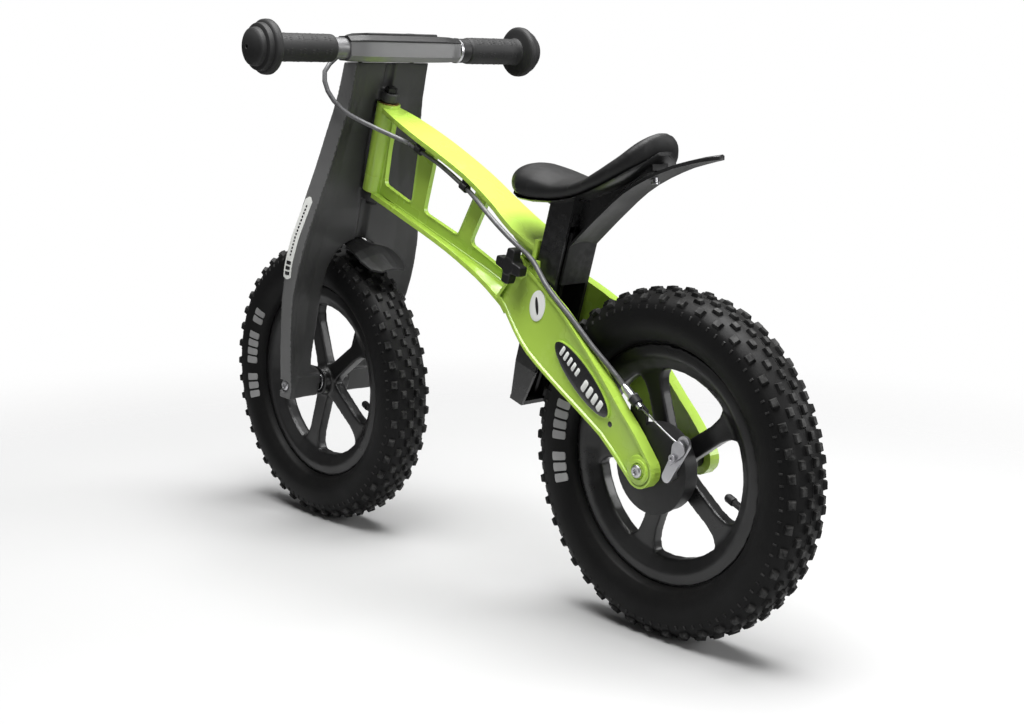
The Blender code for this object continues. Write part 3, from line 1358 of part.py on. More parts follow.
def build_seat_clamp(finishes, knob):
    """The star knob with its bolt, and the nut on the far side."""
    arms = []
    for k in range(4):
        angle = math.radians(17 + 90 * k)
        corners = [(0, -0.0062), (0.0175, -0.0048), (0.0175, 0.0048), (0, 0.0062)]
        lobe = prism(rounded(corners, 0.0022, 3), 0.0345, 0.0445)
        arms.append(moved(lobe, Matrix.Rotation(-angle, 4, "Y")))
    hub = rod(0.0080, 0.0305, 0.0455, 20)
    shank = rod(0.0030, -0.0365, 0.0310, 14)
    add("clamp_knob", combine("knob", hub, [*arms, shank]), finishes["soft_black"], knob)
    nut = combine("nut", prism(circle(0.0058, 6), -0.0350, -0.0305), (), [rod(0.0030 + GAP, -0.05, 0.0, 14)])
    add("clamp_nut", moved(nut, shift(KNOB_AXIS.x, 0, KNOB_AXIS.z)), finishes["steel"])


# ---------------------------------------------------------------- assembly

def build_axles(finishes, front):
    at_axle = shift(REAR_AXLE.x, 0, REAR_AXLE.z)
    rear_half = ARM_INNER_AT_AXLE - GAP
    add("rear_axle", moved(axle(rear_half), at_axle), finishes["steel"])
    seat = ARM_OUTER_AT_AXLE + 0.0010 + GAP
    for name, side in (("rear_axle_bolt_left", LEFT), ("rear_axle_bolt_right", RIGHT)):
        add(name, moved(axle_bolt(seat, rear_half - 0.0130, side), at_axle), finishes["silver"])
    spacer = rod(0.0085, -rear_half, -HUB_HALF_LENGTH - RUNNING_GAP, 20, bore=AXLE_RADIUS + GAP)
    add("rear_spacer_right", moved(spacer, at_axle), finishes["black"])
    inner_spacer = rod(0.0075, HUB_HALF_LENGTH - 0.0055 + RUNNING_GAP, 0.0265, 20, bore=AXLE_RADIUS + GAP)
    add("rear_spacer_left", moved(inner_spacer, at_axle), finishes["black"])
    front_half = FORK_FOOT_INNER - GAP
    add("front_axle", axle(front_half), finishes["steel"], front)
    front_seat = FORK_BOLT_SEAT + GAP
    for name, side in (("front_axle_bolt_left", LEFT), ("front_axle_bolt_right", RIGHT)):
        add(name, axle_bolt(front_seat, front_half - 0.0130, side), finishes["silver"], front)


def main():
    clear_scene()
    finishes = make_finishes()
    steering = joint_empty("steering_axis", frame_at(HEAD, HEAD_TILT))
    bar = joint_empty("bar_centre", frame_at(BAR), steering)
    fork_axle = joint_empty("front_axle_centre", frame_at(FRONT_AXLE), steering)
    front = joint_empty("front_wheel_axis", frame_at(FRONT_AXLE), steering)
    rear = joint_empty("rear_wheel_axis", frame_at(REAR_AXLE))
    seat_world = frame_at(POST, POST_TILT)
    seat = joint_empty("seat_slide_axis", seat_world)
    knob = joint_empty("knob_axis", frame_at(KNOB_AXIS))
    lever = joint_empty("lever_axis", frame_at(LEVER_PIVOT), bar)
    cam = joint_empty("brake_cam_axis", frame_at(CAM_PIVOT))

    build_frame(finishes)
    build_head(finishes, steering)
    build_fork(finishes, steering)
    build_mudguard(finishes, steering)
    build_handlebar(finishes, bar)
    build_grips(finishes, bar)
    ring = build_lever_bracket(finishes, bar)
    add("bracket_band", ring, finishes["silver"], bar)
    build_lever(finishes, lever)
    pin = moved(rod(0.0020, -0.0068, 0.0105, 12), axis_y_to_z())
    add("lever_pivot_pin", moved(pin, shift(*(LEVER_PIVOT - BAR))), finishes["steel"], bar)
    build_cables(finishes)
    build_clips(finishes)
    build_wheel("front", front, finishes, HUB_HALF_LENGTH, -HUB_HALF_LENGTH, HUB_RADIUS)
    build_wheel("rear", rear, finishes, HUB_HALF_LENGTH - 0.0055, -HUB_HALF_LENGTH, HUB_RADIUS)
    build_axles(finishes, fork_axle)
    build_drum(finishes, rear)
    build_brake_frame_side(finishes)
    build_brake_arm(finishes, cam)
    build_wire(finishes)
    build_post(finishes, seat)
    build_saddle(finishes, seat, seat_world)
    build_wing(finishes, seat, seat_world)
    build_seat_clamp(finishes, knob)


main()
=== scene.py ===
import json
import math
import bmesh
import bpy
from mathutils import Matrix, Vector, noise


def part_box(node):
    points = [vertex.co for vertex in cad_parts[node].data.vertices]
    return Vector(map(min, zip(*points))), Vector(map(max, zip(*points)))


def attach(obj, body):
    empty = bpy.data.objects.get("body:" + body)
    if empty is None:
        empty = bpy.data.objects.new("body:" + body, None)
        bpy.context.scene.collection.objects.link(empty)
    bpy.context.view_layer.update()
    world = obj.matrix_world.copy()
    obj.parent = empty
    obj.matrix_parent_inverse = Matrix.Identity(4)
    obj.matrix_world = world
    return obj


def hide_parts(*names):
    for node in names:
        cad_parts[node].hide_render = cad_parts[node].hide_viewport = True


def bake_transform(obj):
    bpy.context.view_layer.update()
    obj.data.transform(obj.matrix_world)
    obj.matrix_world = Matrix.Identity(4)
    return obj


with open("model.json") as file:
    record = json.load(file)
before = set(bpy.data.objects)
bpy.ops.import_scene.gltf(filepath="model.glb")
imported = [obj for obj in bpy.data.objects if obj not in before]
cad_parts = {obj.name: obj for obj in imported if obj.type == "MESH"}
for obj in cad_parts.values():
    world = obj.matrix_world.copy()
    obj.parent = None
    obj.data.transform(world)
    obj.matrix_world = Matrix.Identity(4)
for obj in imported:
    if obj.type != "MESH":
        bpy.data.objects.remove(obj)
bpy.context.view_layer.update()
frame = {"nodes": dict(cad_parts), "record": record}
cadNodes = frame["nodes"]
bodyOf = {
    node: body
    for body, members in frame["record"]["behaviour"]["bodies"].items()
    for node in members
}
slotOf = {part["node"]: part["material_slot"] for part in frame["record"]["subparts"]}
print("model loaded:", len(cadNodes), "parts")

# camera

viewing = {
    "place": (-1.19503, 1.02633, 0.49906),
    "yaw": -41.839,  # degrees, where the lens points in plan
    "dip": 10.178,  # degrees below the horizon
    "roll": 0.278,
    "lens": 55.18,
    "sensor": 36,  # millimetres
    "nearest": 0.05,  # metres
}


def setCamera(v):
    yaw, dip, roll = (math.radians(v[key]) for key in ("yaw", "dip", "roll"))
    ahead = Vector((math.cos(yaw) * math.cos(dip), math.sin(yaw) * math.cos(dip), -math.sin(dip)))
    side = Vector((math.sin(yaw), -math.cos(yaw), 0))
    above = side.cross(ahead)
    across = math.cos(roll) * side + math.sin(roll) * above
    upward = -math.sin(roll) * side + math.cos(roll) * above
    turn = Matrix((across, upward, -ahead)).transposed().to_4x4()
    camera = bpy.data.objects.new("camera", bpy.data.cameras.new("camera"))
    camera.data.lens = v["lens"]
    camera.data.sensor_width = v["sensor"]
    camera.data.clip_start = v["nearest"]
    camera.matrix_world = Matrix.Translation(v["place"]) @ turn
    bpy.context.scene.collection.objects.link(camera)
    bpy.context.scene.camera = camera


setCamera(viewing)
print("camera set")

# shader groups

wearLooks = {
    "cloudScale": 14.0,
    "clouds": (0.35, 0.65),  # contrast of the broad clouds
    "edges": (0.52, 0.60),  # pointiness at which an edge counts as rubbed
    "rubScale": 160.0,
    "rubBreaks": (0.38, 0.62),
    "dustScale": 45.0,
    "dustBreaks": (0.30, 0.75),
    "dustColour": (0.42, 0.40, 0.37),
    "strandWaver": 0.6,
}


def newGroup(name, inputs, outputs):
    # every output is a plain number: a mask or a height
    group = bpy.data.node_groups.new(name, "ShaderNodeTree")
    for label, kind, value in inputs:
        socket = group.interface.new_socket(name=label, in_out="INPUT", socket_type=kind)
        if value is not None:
            socket.default_value = value
    for label in outputs:
        group.interface.new_socket(name=label, in_out="OUTPUT", socket_type="NodeSocketFloat")
    return group, group.nodes.new("NodeGroupInput"), group.nodes.new("NodeGroupOutput")


def mathNode(tree, operation, first, second):
    node = tree.nodes.new("ShaderNodeMath")
    node.operation = operation
    for socket, value in zip(node.inputs, (first, second)):
        if isinstance(value, (int, float)):
            socket.default_value = value
        else:
            tree.links.new(value, socket)
    return node.outputs[0]


def noiseNode(tree, place, scale, detail, rough=0.55):
    node = tree.nodes.new("ShaderNodeTexNoise")
    node.inputs["Detail"].default_value = detail
    node.inputs["Roughness"].default_value = rough
    tree.links.new(place, node.inputs["Vector"])
    if isinstance(scale, (int, float)):
        node.inputs["Scale"].default_value = scale
    else:
        tree.links.new(scale, node.inputs["Scale"])
    return node.outputs["Fac"]


def rampNode(tree, value, low, high):
    node = tree.nodes.new("ShaderNodeMapRange")
    node.inputs["From Min"].default_value = low
    node.inputs["From Max"].default_value = high
    tree.links.new(value, node.inputs["Value"])
    return node.outputs["Result"]


def makeGrainGroup():
    # leather-like moulding grain: fine pits for the bump, broad clouds for the colour
    inputs = [
        ("Place", "NodeSocketVector", None), ("Scale", "NodeSocketFloat", 900.0),
        ("Pits", "NodeSocketFloat", 0.5),
    ]
    group, start, end = newGroup("mouldGrain", inputs, ["Clouds", "Height"])
    clouds = noiseNode(group, start.outputs["Place"], wearLooks["cloudScale"], 4.0)
    fine = noiseNode(group, start.outputs["Place"], start.outputs["Scale"], 3.0)
    cells = group.nodes.new("ShaderNodeTexVoronoi")
    group.links.new(start.outputs["Place"], cells.inputs["Vector"])
    group.links.new(start.outputs["Scale"], cells.inputs["Scale"])
    pits = mathNode(group, "MULTIPLY", cells.outputs["Distance"], start.outputs["Pits"])
    group.links.new(rampNode(group, clouds, *wearLooks["clouds"]), end.inputs["Clouds"])
    group.links.new(mathNode(group, "ADD", fine, pits), end.inputs["Height"])
    return group


def makeRubGroup():
    # worn, slightly paler edges, broken up by noise
    inputs = [("Place", "NodeSocketVector", None), ("Reach", "NodeSocketFloat", 0.5)]
    group, start, end = newGroup("edgeRub", inputs, ["Mask"])
    shape = group.nodes.new("ShaderNodeNewGeometry")
    edge = rampNode(group, shape.outputs["Pointiness"], *wearLooks["edges"])
    patches = noiseNode(group, start.outputs["Place"], wearLooks["rubScale"], 5.0)
    broken = rampNode(group, patches, *wearLooks["rubBreaks"])
    both = mathNode(group, "MULTIPLY", edge, broken)
    group.links.new(mathNode(group, "MULTIPLY", both, start.outputs["Reach"]), end.inputs["Mask"])
    return group


def makeDustGroup():
    # a thin film that settles on what faces up
    inputs = [("Place", "NodeSocketVector", None), ("Amount", "NodeSocketFloat", 0.1)]
    group, start, end = newGroup("dustFilm", inputs, ["Mask"])
    shape = group.nodes.new("ShaderNodeNewGeometry")
    split = group.nodes.new("ShaderNodeSeparateXYZ")
    group.links.new(shape.outputs["Normal"], split.inputs[0])
    upward = rampNode(group, split.outputs["Z"], 0.2, 1.0)
    patches = noiseNode(group, start.outputs["Place"], wearLooks["dustScale"], 6.0, 0.65)
    both = mathNode(group, "MULTIPLY", upward, rampNode(group, patches, *wearLooks["dustBreaks"]))
    group.links.new(mathNode(group, "MULTIPLY", both, start.outputs["Amount"]), end.inputs["Mask"])
    return group


def makeBraidGroup():
    # diagonal strands of a woven sleeve
    inputs = [("Place", "NodeSocketVector", None), ("Pitch", "NodeSocketFloat", 420.0)]
    group, start, end = newGroup("sleeveBraid", inputs, ["Strands"])
    heights = []
    for direction in ("DIAGONAL", "Z"):
        wave = group.nodes.new("ShaderNodeTexWave")
        wave.bands_direction = direction
        wave.inputs["Distortion"].default_value = wearLooks["strandWaver"]
        group.links.new(start.outputs["Place"], wave.inputs["Vector"])
        group.links.new(start.outputs["Pitch"], wave.inputs["Scale"])
        heights.append(wave.outputs["Fac"])
    group.links.new(mathNode(group, "MAXIMUM", *heights), end.inputs["Strands"])
    return group


grainGroup = makeGrainGroup()
rubGroup = makeRubGroup()
dustGroup = makeDustGroup()
braidGroup = makeBraidGroup()
print("shader groups built")

# finishes

bumpReach = 0.0004  # metres
coatRough = 0.18
finishLooks = {
    "limeShell": {
        "colour": (0.400, 0.600, 0.080), "deep": (0.380, 0.575, 0.072), "worn": (0.62, 0.80, 0.26),
        "rough": (0.20, 0.32), "grain": 1100, "pits": 0.3, "depth": 0.03, "rub": 0.12, "dust": 0.0,
        "coat": 0.15,
    },
    "blackMoulding": {
        "colour": (0.0085, 0.0085, 0.0088), "deep": (0.0060, 0.0060, 0.0062),
        "worn": (0.075, 0.075, 0.077), "rough": (0.26, 0.36), "grain": 1300, "pits": 0.6, "depth": 0.12,
        "rub": 0.35, "dust": 0.01, "shine": 0.50,
    },
    "forkMoulding": {
        "colour": (0.040, 0.0403, 0.0403), "deep": (0.033, 0.0332, 0.0332), "worn": (0.18, 0.18, 0.182),
        "rough": (0.38, 0.50), "grain": 1500, "pits": 0.7, "depth": 0.16, "rub": 0.30, "dust": 0.03,
        "shine": 0.4,
    },
    "softBlack": {
        "colour": (0.0080, 0.0080, 0.0083), "deep": (0.0055, 0.0055, 0.0057),
        "worn": (0.055, 0.055, 0.057), "rough": (0.42, 0.56), "grain": 1200, "pits": 0.8, "depth": 0.15,
        "rub": 0.30, "dust": 0.01, "shine": 0.34,
    },
    "tyreRubber": {
        "colour": (0.0060, 0.0060, 0.0062), "deep": (0.0040, 0.0040, 0.0041),
        "worn": (0.070, 0.070, 0.069), "rough": (0.42, 0.55), "grain": 700, "pits": 0.5, "depth": 0.20,
        "rub": 0.60, "dust": 0.03, "shine": 0.14,
    },
    "saddleSkin": {
        "colour": (0.0110, 0.0110, 0.0113), "deep": (0.0080, 0.0080, 0.0082),
        "worn": (0.050, 0.050, 0.052), "rough": (0.44, 0.56), "grain": 1600, "pits": 1.0, "depth": 0.22,
        "rub": 0.15, "dust": 0.02, "shine": 0.25,
    },
    "gripRubber": {
        "colour": (0.0140, 0.0140, 0.0143), "deep": (0.0100, 0.0100, 0.0102),
        "worn": (0.070, 0.070, 0.072), "rough": (0.55, 0.70), "grain": 1400, "pits": 0.6, "depth": 0.18,
        "rub": 0.25, "dust": 0.02, "shine": 0.3,
    },
    # a lighter grey copy of forkMoulding: painted light, standing in for the light that falls on the
    # fork's outward-facing side bands
    "forkFlank": {
        "colour": (0.125, 0.1255, 0.1255), "deep": (0.108, 0.1085, 0.1085), "worn": (0.20, 0.20, 0.202),
        "rough": (0.38, 0.50), "grain": 1500, "pits": 0.7, "depth": 0.16, "rub": 0.20, "dust": 0.02,
        "shine": 0.4,
    },
    "satinAlloy": {
        "colour": (0.60, 0.60, 0.61), "deep": (0.48, 0.48, 0.50), "worn": (0.75, 0.75, 0.76),
        "rough": (0.24, 0.38), "grain": 2200, "pits": 0.2, "depth": 0.05, "rub": 0.40, "dust": 0.02,
        "metal": 1.0,
    },
    "platedSteel": {
        "colour": (0.54, 0.54, 0.55), "deep": (0.42, 0.42, 0.44), "worn": (0.70, 0.70, 0.71),
        "rough": (0.22, 0.34), "grain": 2400, "pits": 0.2, "depth": 0.04, "rub": 0.40, "dust": 0.02,
        "metal": 1.0,
    },
    "greyPaint": {
        "colour": (0.105, 0.105, 0.107), "deep": (0.088, 0.088, 0.090), "worn": (0.36, 0.36, 0.37),
        "rough": (0.28, 0.38), "grain": 2600, "pits": 0.3, "depth": 0.05, "rub": 0.30, "dust": 0.03,
        "metal": 0.15, "coat": 0.1,
    },
    "bushBronze": {
        "colour": (0.46, 0.30, 0.13), "deep": (0.34, 0.21, 0.08), "worn": (0.60, 0.42, 0.20),
        "rough": (0.32, 0.46), "grain": 1800, "pits": 0.5, "depth": 0.10, "rub": 0.30, "dust": 0.02,
        "metal": 1.0,
    },
    "brakeLining": {
        "colour": (0.13, 0.10, 0.075), "deep": (0.08, 0.06, 0.045), "worn": (0.20, 0.16, 0.12),
        "rough": (0.80, 0.92), "grain": 900, "pits": 1.0, "depth": 0.40, "rub": 0.20, "dust": 0.05,
    },
    "cableSleeve": {
        "colour": (0.13, 0.13, 0.134), "deep": (0.065, 0.065, 0.068), "worn": (0.40, 0.40, 0.41),
        "rough": (0.30, 0.42), "grain": 1500, "pits": 0.3, "depth": 0.10, "rub": 0.20, "dust": 0.03,
        "braid": 0.55,
    },
    "badgeFace": {
        "colour": (0.012, 0.012, 0.013), "deep": (0.008, 0.008, 0.009), "worn": (0.03, 0.03, 0.03),
        "rough": (0.22, 0.30), "grain": 2600, "pits": 0.1, "depth": 0.02, "rub": 0.10, "dust": 0.02,
        "coat": 0.5,
    },
    "paleMark": {
        "colour": (0.80, 0.81, 0.78), "deep": (0.70, 0.71, 0.68), "worn": (0.86, 0.86, 0.84),
        "rough": (0.34, 0.44), "grain": 1800, "pits": 0.2, "depth": 0.04, "rub": 0.10, "dust": 0.06,
    },
    "greyMark": {
        "colour": (0.30, 0.30, 0.30), "deep": (0.22, 0.22, 0.22), "worn": (0.40, 0.40, 0.40),
        "rough": (0.55, 0.70), "grain": 900, "pits": 0.4, "depth": 0.12, "rub": 0.20, "dust": 0.08,
    },
}


def colourMix(tree, mask, first, second):
    node = tree.nodes.new("ShaderNodeMix")
    node.data_type = "RGBA"
    tree.links.new(mask, node.inputs["Factor"])
    for socket, value in ((node.inputs["A"], first), (node.inputs["B"], second)):
        if isinstance(value, tuple):
            socket.default_value = (*value, 1)
        else:
            tree.links.new(value, socket)
    return node.outputs["Result"]


def groupNode(tree, group, place, **values):
    node = tree.nodes.new("ShaderNodeGroup")
    node.node_tree = group
    tree.links.new(place, node.inputs["Place"])
    for label, value in values.items():
        node.inputs[label].default_value = value
    return node.outputs


def makeFinish(name, look):
    material = bpy.data.materials.new(name)
    material.use_nodes = True
    tree = material.node_tree
    shader = tree.nodes["Principled BSDF"]
    shader.inputs["Metallic"].default_value = look.get("metal", 0.0)
    shader.inputs["Coat Weight"].default_value = look.get("coat", 0.0)
    shader.inputs["Coat Roughness"].default_value = coatRough
    shader.inputs["Specular IOR Level"].default_value = look.get("shine", 0.5)
    place = tree.nodes.new("ShaderNodeTexCoord").outputs["Object"]
    grain = groupNode(tree, grainGroup, place, Scale=look["grain"], Pits=look["pits"])
    rub = groupNode(tree, rubGroup, place, Reach=look["rub"])
    dust = groupNode(tree, dustGroup, place, Amount=look["dust"])
    base = colourMix(tree, grain["Clouds"], look["colour"], look["deep"])
    height = grain["Height"]
    if "braid" in look:
        braid = groupNode(tree, braidGroup, place)
        base = colourMix(tree, braid["Strands"], look["deep"], base)
        height = mathNode(
            tree, "ADD", height, mathNode(tree, "MULTIPLY", braid["Strands"], look["braid"]),
        )
    base = colourMix(tree, rub["Mask"], base, look["worn"])
    base = colourMix(tree, dust["Mask"], base, wearLooks["dustColour"])
    rough = tree.nodes.new("ShaderNodeMapRange")
    rough.inputs["To Min"].default_value, rough.inputs["To Max"].default_value = look["rough"]
    bump = tree.nodes.new("ShaderNodeBump")
    bump.inputs["Strength"].default_value = look["depth"]
    bump.inputs["Distance"].default_value = bumpReach
    tree.links.new(grain["Clouds"], rough.inputs["Value"])
    tree.links.new(height, bump.inputs["Height"])
    tree.links.new(base, shader.inputs["Base Color"])
    tree.links.new(rough.outputs["Result"], shader.inputs["Roughness"])
    tree.links.new(bump.outputs["Normal"], shader.inputs["Normal"])
    return material


finishes = {name: makeFinish(name, look) for name, look in finishLooks.items()}
print("finishes built:", len(finishes))

# helpers for pieces


def addPiece(name, bm, finish, body=None, sharp=32):
    mesh = bpy.data.meshes.new(name)
    bmesh.ops.recalc_face_normals(bm, faces=bm.faces)
    bm.to_mesh(mesh)
    bm.free()
    mesh.materials.append(finishes[finish])
    mesh.shade_smooth()
    mesh.set_sharp_from_angle(angle=math.radians(sharp))
    piece = bpy.data.objects.new(name, mesh)
    bpy.context.scene.collection.objects.link(piece)
    if body:
        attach(piece, body)
    return piece


def soften(piece, width, segments=2, angle=32):
    modifier = piece.modifiers.new("softEdges", "BEVEL")
    modifier.width = width
    modifier.segments = segments
    modifier.limit_method = "ANGLE"
    modifier.angle_limit = math.radians(angle)
    modifier.harden_normals = True
    modifier.use_clamp_overlap = True


joinReach = 1.5e-5  # vertices nearer than this become one
thinEdge = 1e-5  # edges shorter than this go


def cleanCopy(node, flatten):
    # a node's mesh, joined up, with faces that lie within flatten degrees made one
    bm = bmesh.new()
    bm.from_mesh(cadNodes[node].data)
    bmesh.ops.remove_doubles(bm, verts=bm.verts, dist=joinReach)
    bmesh.ops.dissolve_degenerate(bm, edges=bm.edges, dist=thinEdge)
    if flatten:
        bmesh.ops.dissolve_limit(bm, angle_limit=math.radians(flatten), verts=bm.verts, edges=bm.edges)
    return bm


def middleOf(node):
    low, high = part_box(node)
    return (Vector(low) + Vector(high)) / 2


def skinRings(bm, rings):
    # faces between neighbouring rings, then one over each end
    for near, far in zip(rings, rings[1:]):
        for k in range(len(near)):
            j = (k + 1) % len(near)
            bm.faces.new((near[k], near[j], far[j], far[k]))
    bm.faces.new(rings[0])
    bm.faces.new(rings[-1])


def sideName(side):
    return "Left" if side > 0 else "Right"


def studdedRing(profile, angles, pick, height, taper):
    # a closed (radius, offset) profile spun about Y, with chosen faces pushed out as studs
    bm = bmesh.new()
    rings = [[bm.verts.new((r * math.cos(a), y, r * math.sin(a))) for r, y in profile] for a in angles]
    studs = {}
    for k, ring in enumerate(rings):
        following = rings[(k + 1) % len(rings)]
        for i in range(len(ring)):
            j = (i + 1) % len(ring)
            face = bm.faces.new((ring[i], ring[j], following[j], following[i]))
            kind = pick(k, i)
            if kind:
                studs[face] = kind
    bmesh.ops.recalc_face_normals(bm, faces=bm.faces)
    for kind, rise in height.items():
        chosen = [face for face, own in studs.items() if own == kind]
        raised = bmesh.ops.extrude_discrete_faces(bm, faces=chosen)["faces"]
        for face in raised:
            centre, normal = face.calc_center_median(), face.normal.copy()
            for vert in face.verts:
                vert.co = centre + (vert.co - centre) * taper + normal * rise
    return bm


# tyres

tyreLook = {
    "pitches": 44,
    "knobShare": 0.40,
    "knobRise": 0.0036,
    "finRise": 0.0008,
    "taper": 0.76,
    "edge": (0.0005, 1, 50),  # width of the soft edge, steps across it, least angle
    # radius and half width from the middle of the tread to the bead
    "tread": [
        (0.1569, 0.0005), (0.1568, 0.0009), (0.1567, 0.0066), (0.1562, 0.0096), (0.1550, 0.0156),
        (0.1536, 0.0180), (0.1488, 0.0234),
    ],
    "side": [
        (0.1462, 0.0249), (0.1424, 0.0260), (0.1360, 0.0269), (0.1290, 0.0266), (0.1235, 0.0252),
        (0.1190, 0.0230), (0.1158, 0.0205), (0.1150, 0.0200), (0.1144, 0.0194), (0.1134, 0.0183),
        (0.1126, 0.0164), (0.1112, 0.0140), (0.1110, 0.0112),
    ],
    "inside": [
        (0.1072, 0.0110), (0.1072, 0.0086), (0.1180, 0.0130), (0.1350, 0.0232), (0.1500, 0.0165),
    ],
    "seamRise": 0.0006,
}


def makeTyre(prefix):
    look = tyreLook
    half = look["tread"] + look["side"] + look["inside"]
    profile = [(r, -y) for r, y in half][::-1] + half
    count = len(half)
    rows = {
        count + 1: "knobA", count + 3: "knobB", count + 5: "knobA", count - 3: "knobB",
        count - 5: "knobA", count - 7: "knobB",
    }
    fins = (count + 7, count - 9)
    shares = (0, look["knobShare"], 0.5, 0.5 + look["knobShare"])
    angles = [
        2 * math.pi * (pitch + share) / look["pitches"]
        for pitch in range(look["pitches"])
        for share in shares
    ]

    def pick(k, i):
        if i in rows and k % 4 == (0 if rows[i] == "knobA" else 2):
            return "knob"
        if i in fins and k % 4 in (1, 3):
            return "fin"
        return "seam" if i == count - 1 else None

    rises = {"knob": look["knobRise"], "fin": look["finRise"], "seam": look["seamRise"]}
    bm = studdedRing(profile, angles, pick, rises, look["taper"])
    middle = middleOf(prefix + "_tyre")
    bmesh.ops.transform(bm, matrix=Matrix.Translation((middle.x, 0, middle.z)), verts=bm.verts)
    piece = addPiece(
        prefix + "KnobblyTyre", bm, "tyreRubber", bodyOf[prefix + "_tyre"], sharp=40,
    )
    soften(piece, *look["edge"])
    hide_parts(prefix + "_tyre")
    makeSideMark(prefix, middle)


sideMarkLook = {
    # angles in degrees, heights as radii; each wall point is a share of the height and a half width
    "start": -17.0, "bar": 3.7, "gap": 1.1, "count": 11, "missing": (3, 8), "low": 0.1172,
    "high": 0.1298, "lift": 0.00045, "sink": 0.0006, "trim": 0.0007,
    "wall": ((0.0, 0.0222), (0.33, 0.0243), (0.67, 0.0258), (1.0, 0.0267)),
}


def makeSideMark(prefix, middle):
    # a row of plain raised bars on each side wall
    look = sideMarkLook
    for side in (1, -1):
        bm = bmesh.new()
        for bar in range(look["count"]):
            if bar in look["missing"]:
                continue
            start = look["start"] + bar * (look["bar"] + look["gap"])
            rings = []
            for k in range(5):
                angle = math.radians(start + look["bar"] * k / 4)
                trim = look["trim"] if k in (0, 4) else 0.0
                ring = []
                for share, y in look["wall"]:
                    radius = look["low"] + trim + share * (look["high"] - look["low"] - 2 * trim)
                    ring.append(Vector((radius * math.cos(angle), side * y, radius * math.sin(angle))))
                outer = [bm.verts.new(p + Vector((0, side * look["lift"], 0))) for p in ring]
                inner = [bm.verts.new(p - Vector((0, side * look["sink"], 0))) for p in reversed(ring)]
                rings.append(outer + inner)
            skinRings(bm, rings)
        bmesh.ops.transform(bm, matrix=Matrix.Translation((middle.x, 0, middle.z)), verts=bm.verts)
        addPiece(prefix + "SideMark" + sideName(side), bm, "greyMark", bodyOf[prefix + "_tyre"])


for end in ("front", "rear"):
    makeTyre(end)
print("tyres made")

# grips

gripLook = {
    "steps": 72,
    "dotRise": 0.00022,
    "ringOffsets": [0.094 + 0.0026 * k for k in range(24)],
    "sleeve": 0.0140,
    "bore": 0.0113,
    "lip": ((-0.0014, 0.0), (-0.0003, 0.0010), (0.0, 0.0030)),
    "dotTaper": 0.72,
    # radius and distance back from the outer end
    "bumper": [
        (0.0141, 0.0308), (0.0150, 0.0292), (0.0190, 0.0282), (0.0232, 0.0274), (0.0258, 0.0262),
        (0.0269, 0.0246), (0.0270, 0.0222), (0.0267, 0.0196), (0.0256, 0.0180), (0.0236, 0.0172),
        (0.0233, 0.0160), (0.0233, 0.0136), (0.0228, 0.0122), (0.0214, 0.0114), (0.0192, 0.0108),
        (0.0188, 0.0096), (0.0187, 0.0074), (0.0180, 0.0060), (0.0160, 0.0046), (0.0128, 0.0026),
        (0.0090, 0.0012), (0.0050, 0.0003), (0.0024, 0.0), (0.0019, 0.0008), (0.0019, 0.0060),
        (0.0004, 0.0062), (0.0004, 0.0117), (0.0113, 0.0117),
    ],
    "bumperLength": 0.033,
}


def makeGrip(node, side):
    low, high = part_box(node)
    middle = middleOf(node)
    end = max(abs(low[1]), abs(high[1]))
    inner = min(abs(low[1]), abs(high[1]))
    look = gripLook
    sleeve = look["sleeve"]
    start = [(look["bore"], inner)] + [(sleeve + dr, inner + dy) for dr, dy in look["lip"]]
    dots = [(sleeve, y) for y in look["ringOffsets"] if y < end - look["bumperLength"]]
    profile = start + dots + [(r, end - back) for r, back in look["bumper"]]
    first, last = len(start), len(start) + len(dots) - 1

    def pick(k, i):
        row = (i - first) % 6
        columns = {1: (1, 3, 5), 3: (2, 4)}.get(row, ())
        return "dot" if first <= i < last and k % 12 in columns else None

    angles = [2 * math.pi * k / look["steps"] for k in range(look["steps"])]
    bm = studdedRing(profile, angles, pick, {"dot": look["dotRise"]}, look["dotTaper"])
    flip = Matrix.Scale(side, 4, (0, 1, 0))
    bmesh.ops.transform(bm, matrix=Matrix.Translation((middle.x, 0, middle.z)) @ flip, verts=bm.verts)
    piece = addPiece("ribbedGrip" + sideName(side), bm, "gripRubber", bodyOf[node], sharp=40)
    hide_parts(node)


makeGrip("grip_left", 1)
makeGrip("grip_right", -1)
print("grips made")

# smooth mouldings: an even skin over the solid, relaxed so that its corners blend

moulded = {
    "saddle_pad": {
        "name": "saddleCushion", "finish": "saddleSkin", "voxel": 0.0024, "passes": 14, "swell": 0.0005,
        "uneven": (0.4, 30), "fine": 1,
    },
    "front_wheel": {
        "name": "frontSpokedWheel", "finish": "blackMoulding", "voxel": 0.0015, "passes": 9,
    },
    "rear_wheel": {"name": "rearSpokedWheel", "finish": "blackMoulding", "voxel": 0.0015, "passes": 9},
    "clamp_knob": {"name": "starKnob", "finish": "softBlack", "voxel": 0.0007, "passes": 9},
    "fork": {
        "name": "forkShell", "finish": "forkMoulding", "voxel": 0.0014, "passes": 5,
        # the lighter grey finish and the faces of the fork's outer side bands that get it: painted
        # light
        "flank": "forkFlank", "flankFrom": 0.034, "flankFacing": 0.6,
    },
    "front_mudguard": {"name": "mudguardTongue", "finish": "softBlack", "voxel": 0.0009, "passes": 4},
}


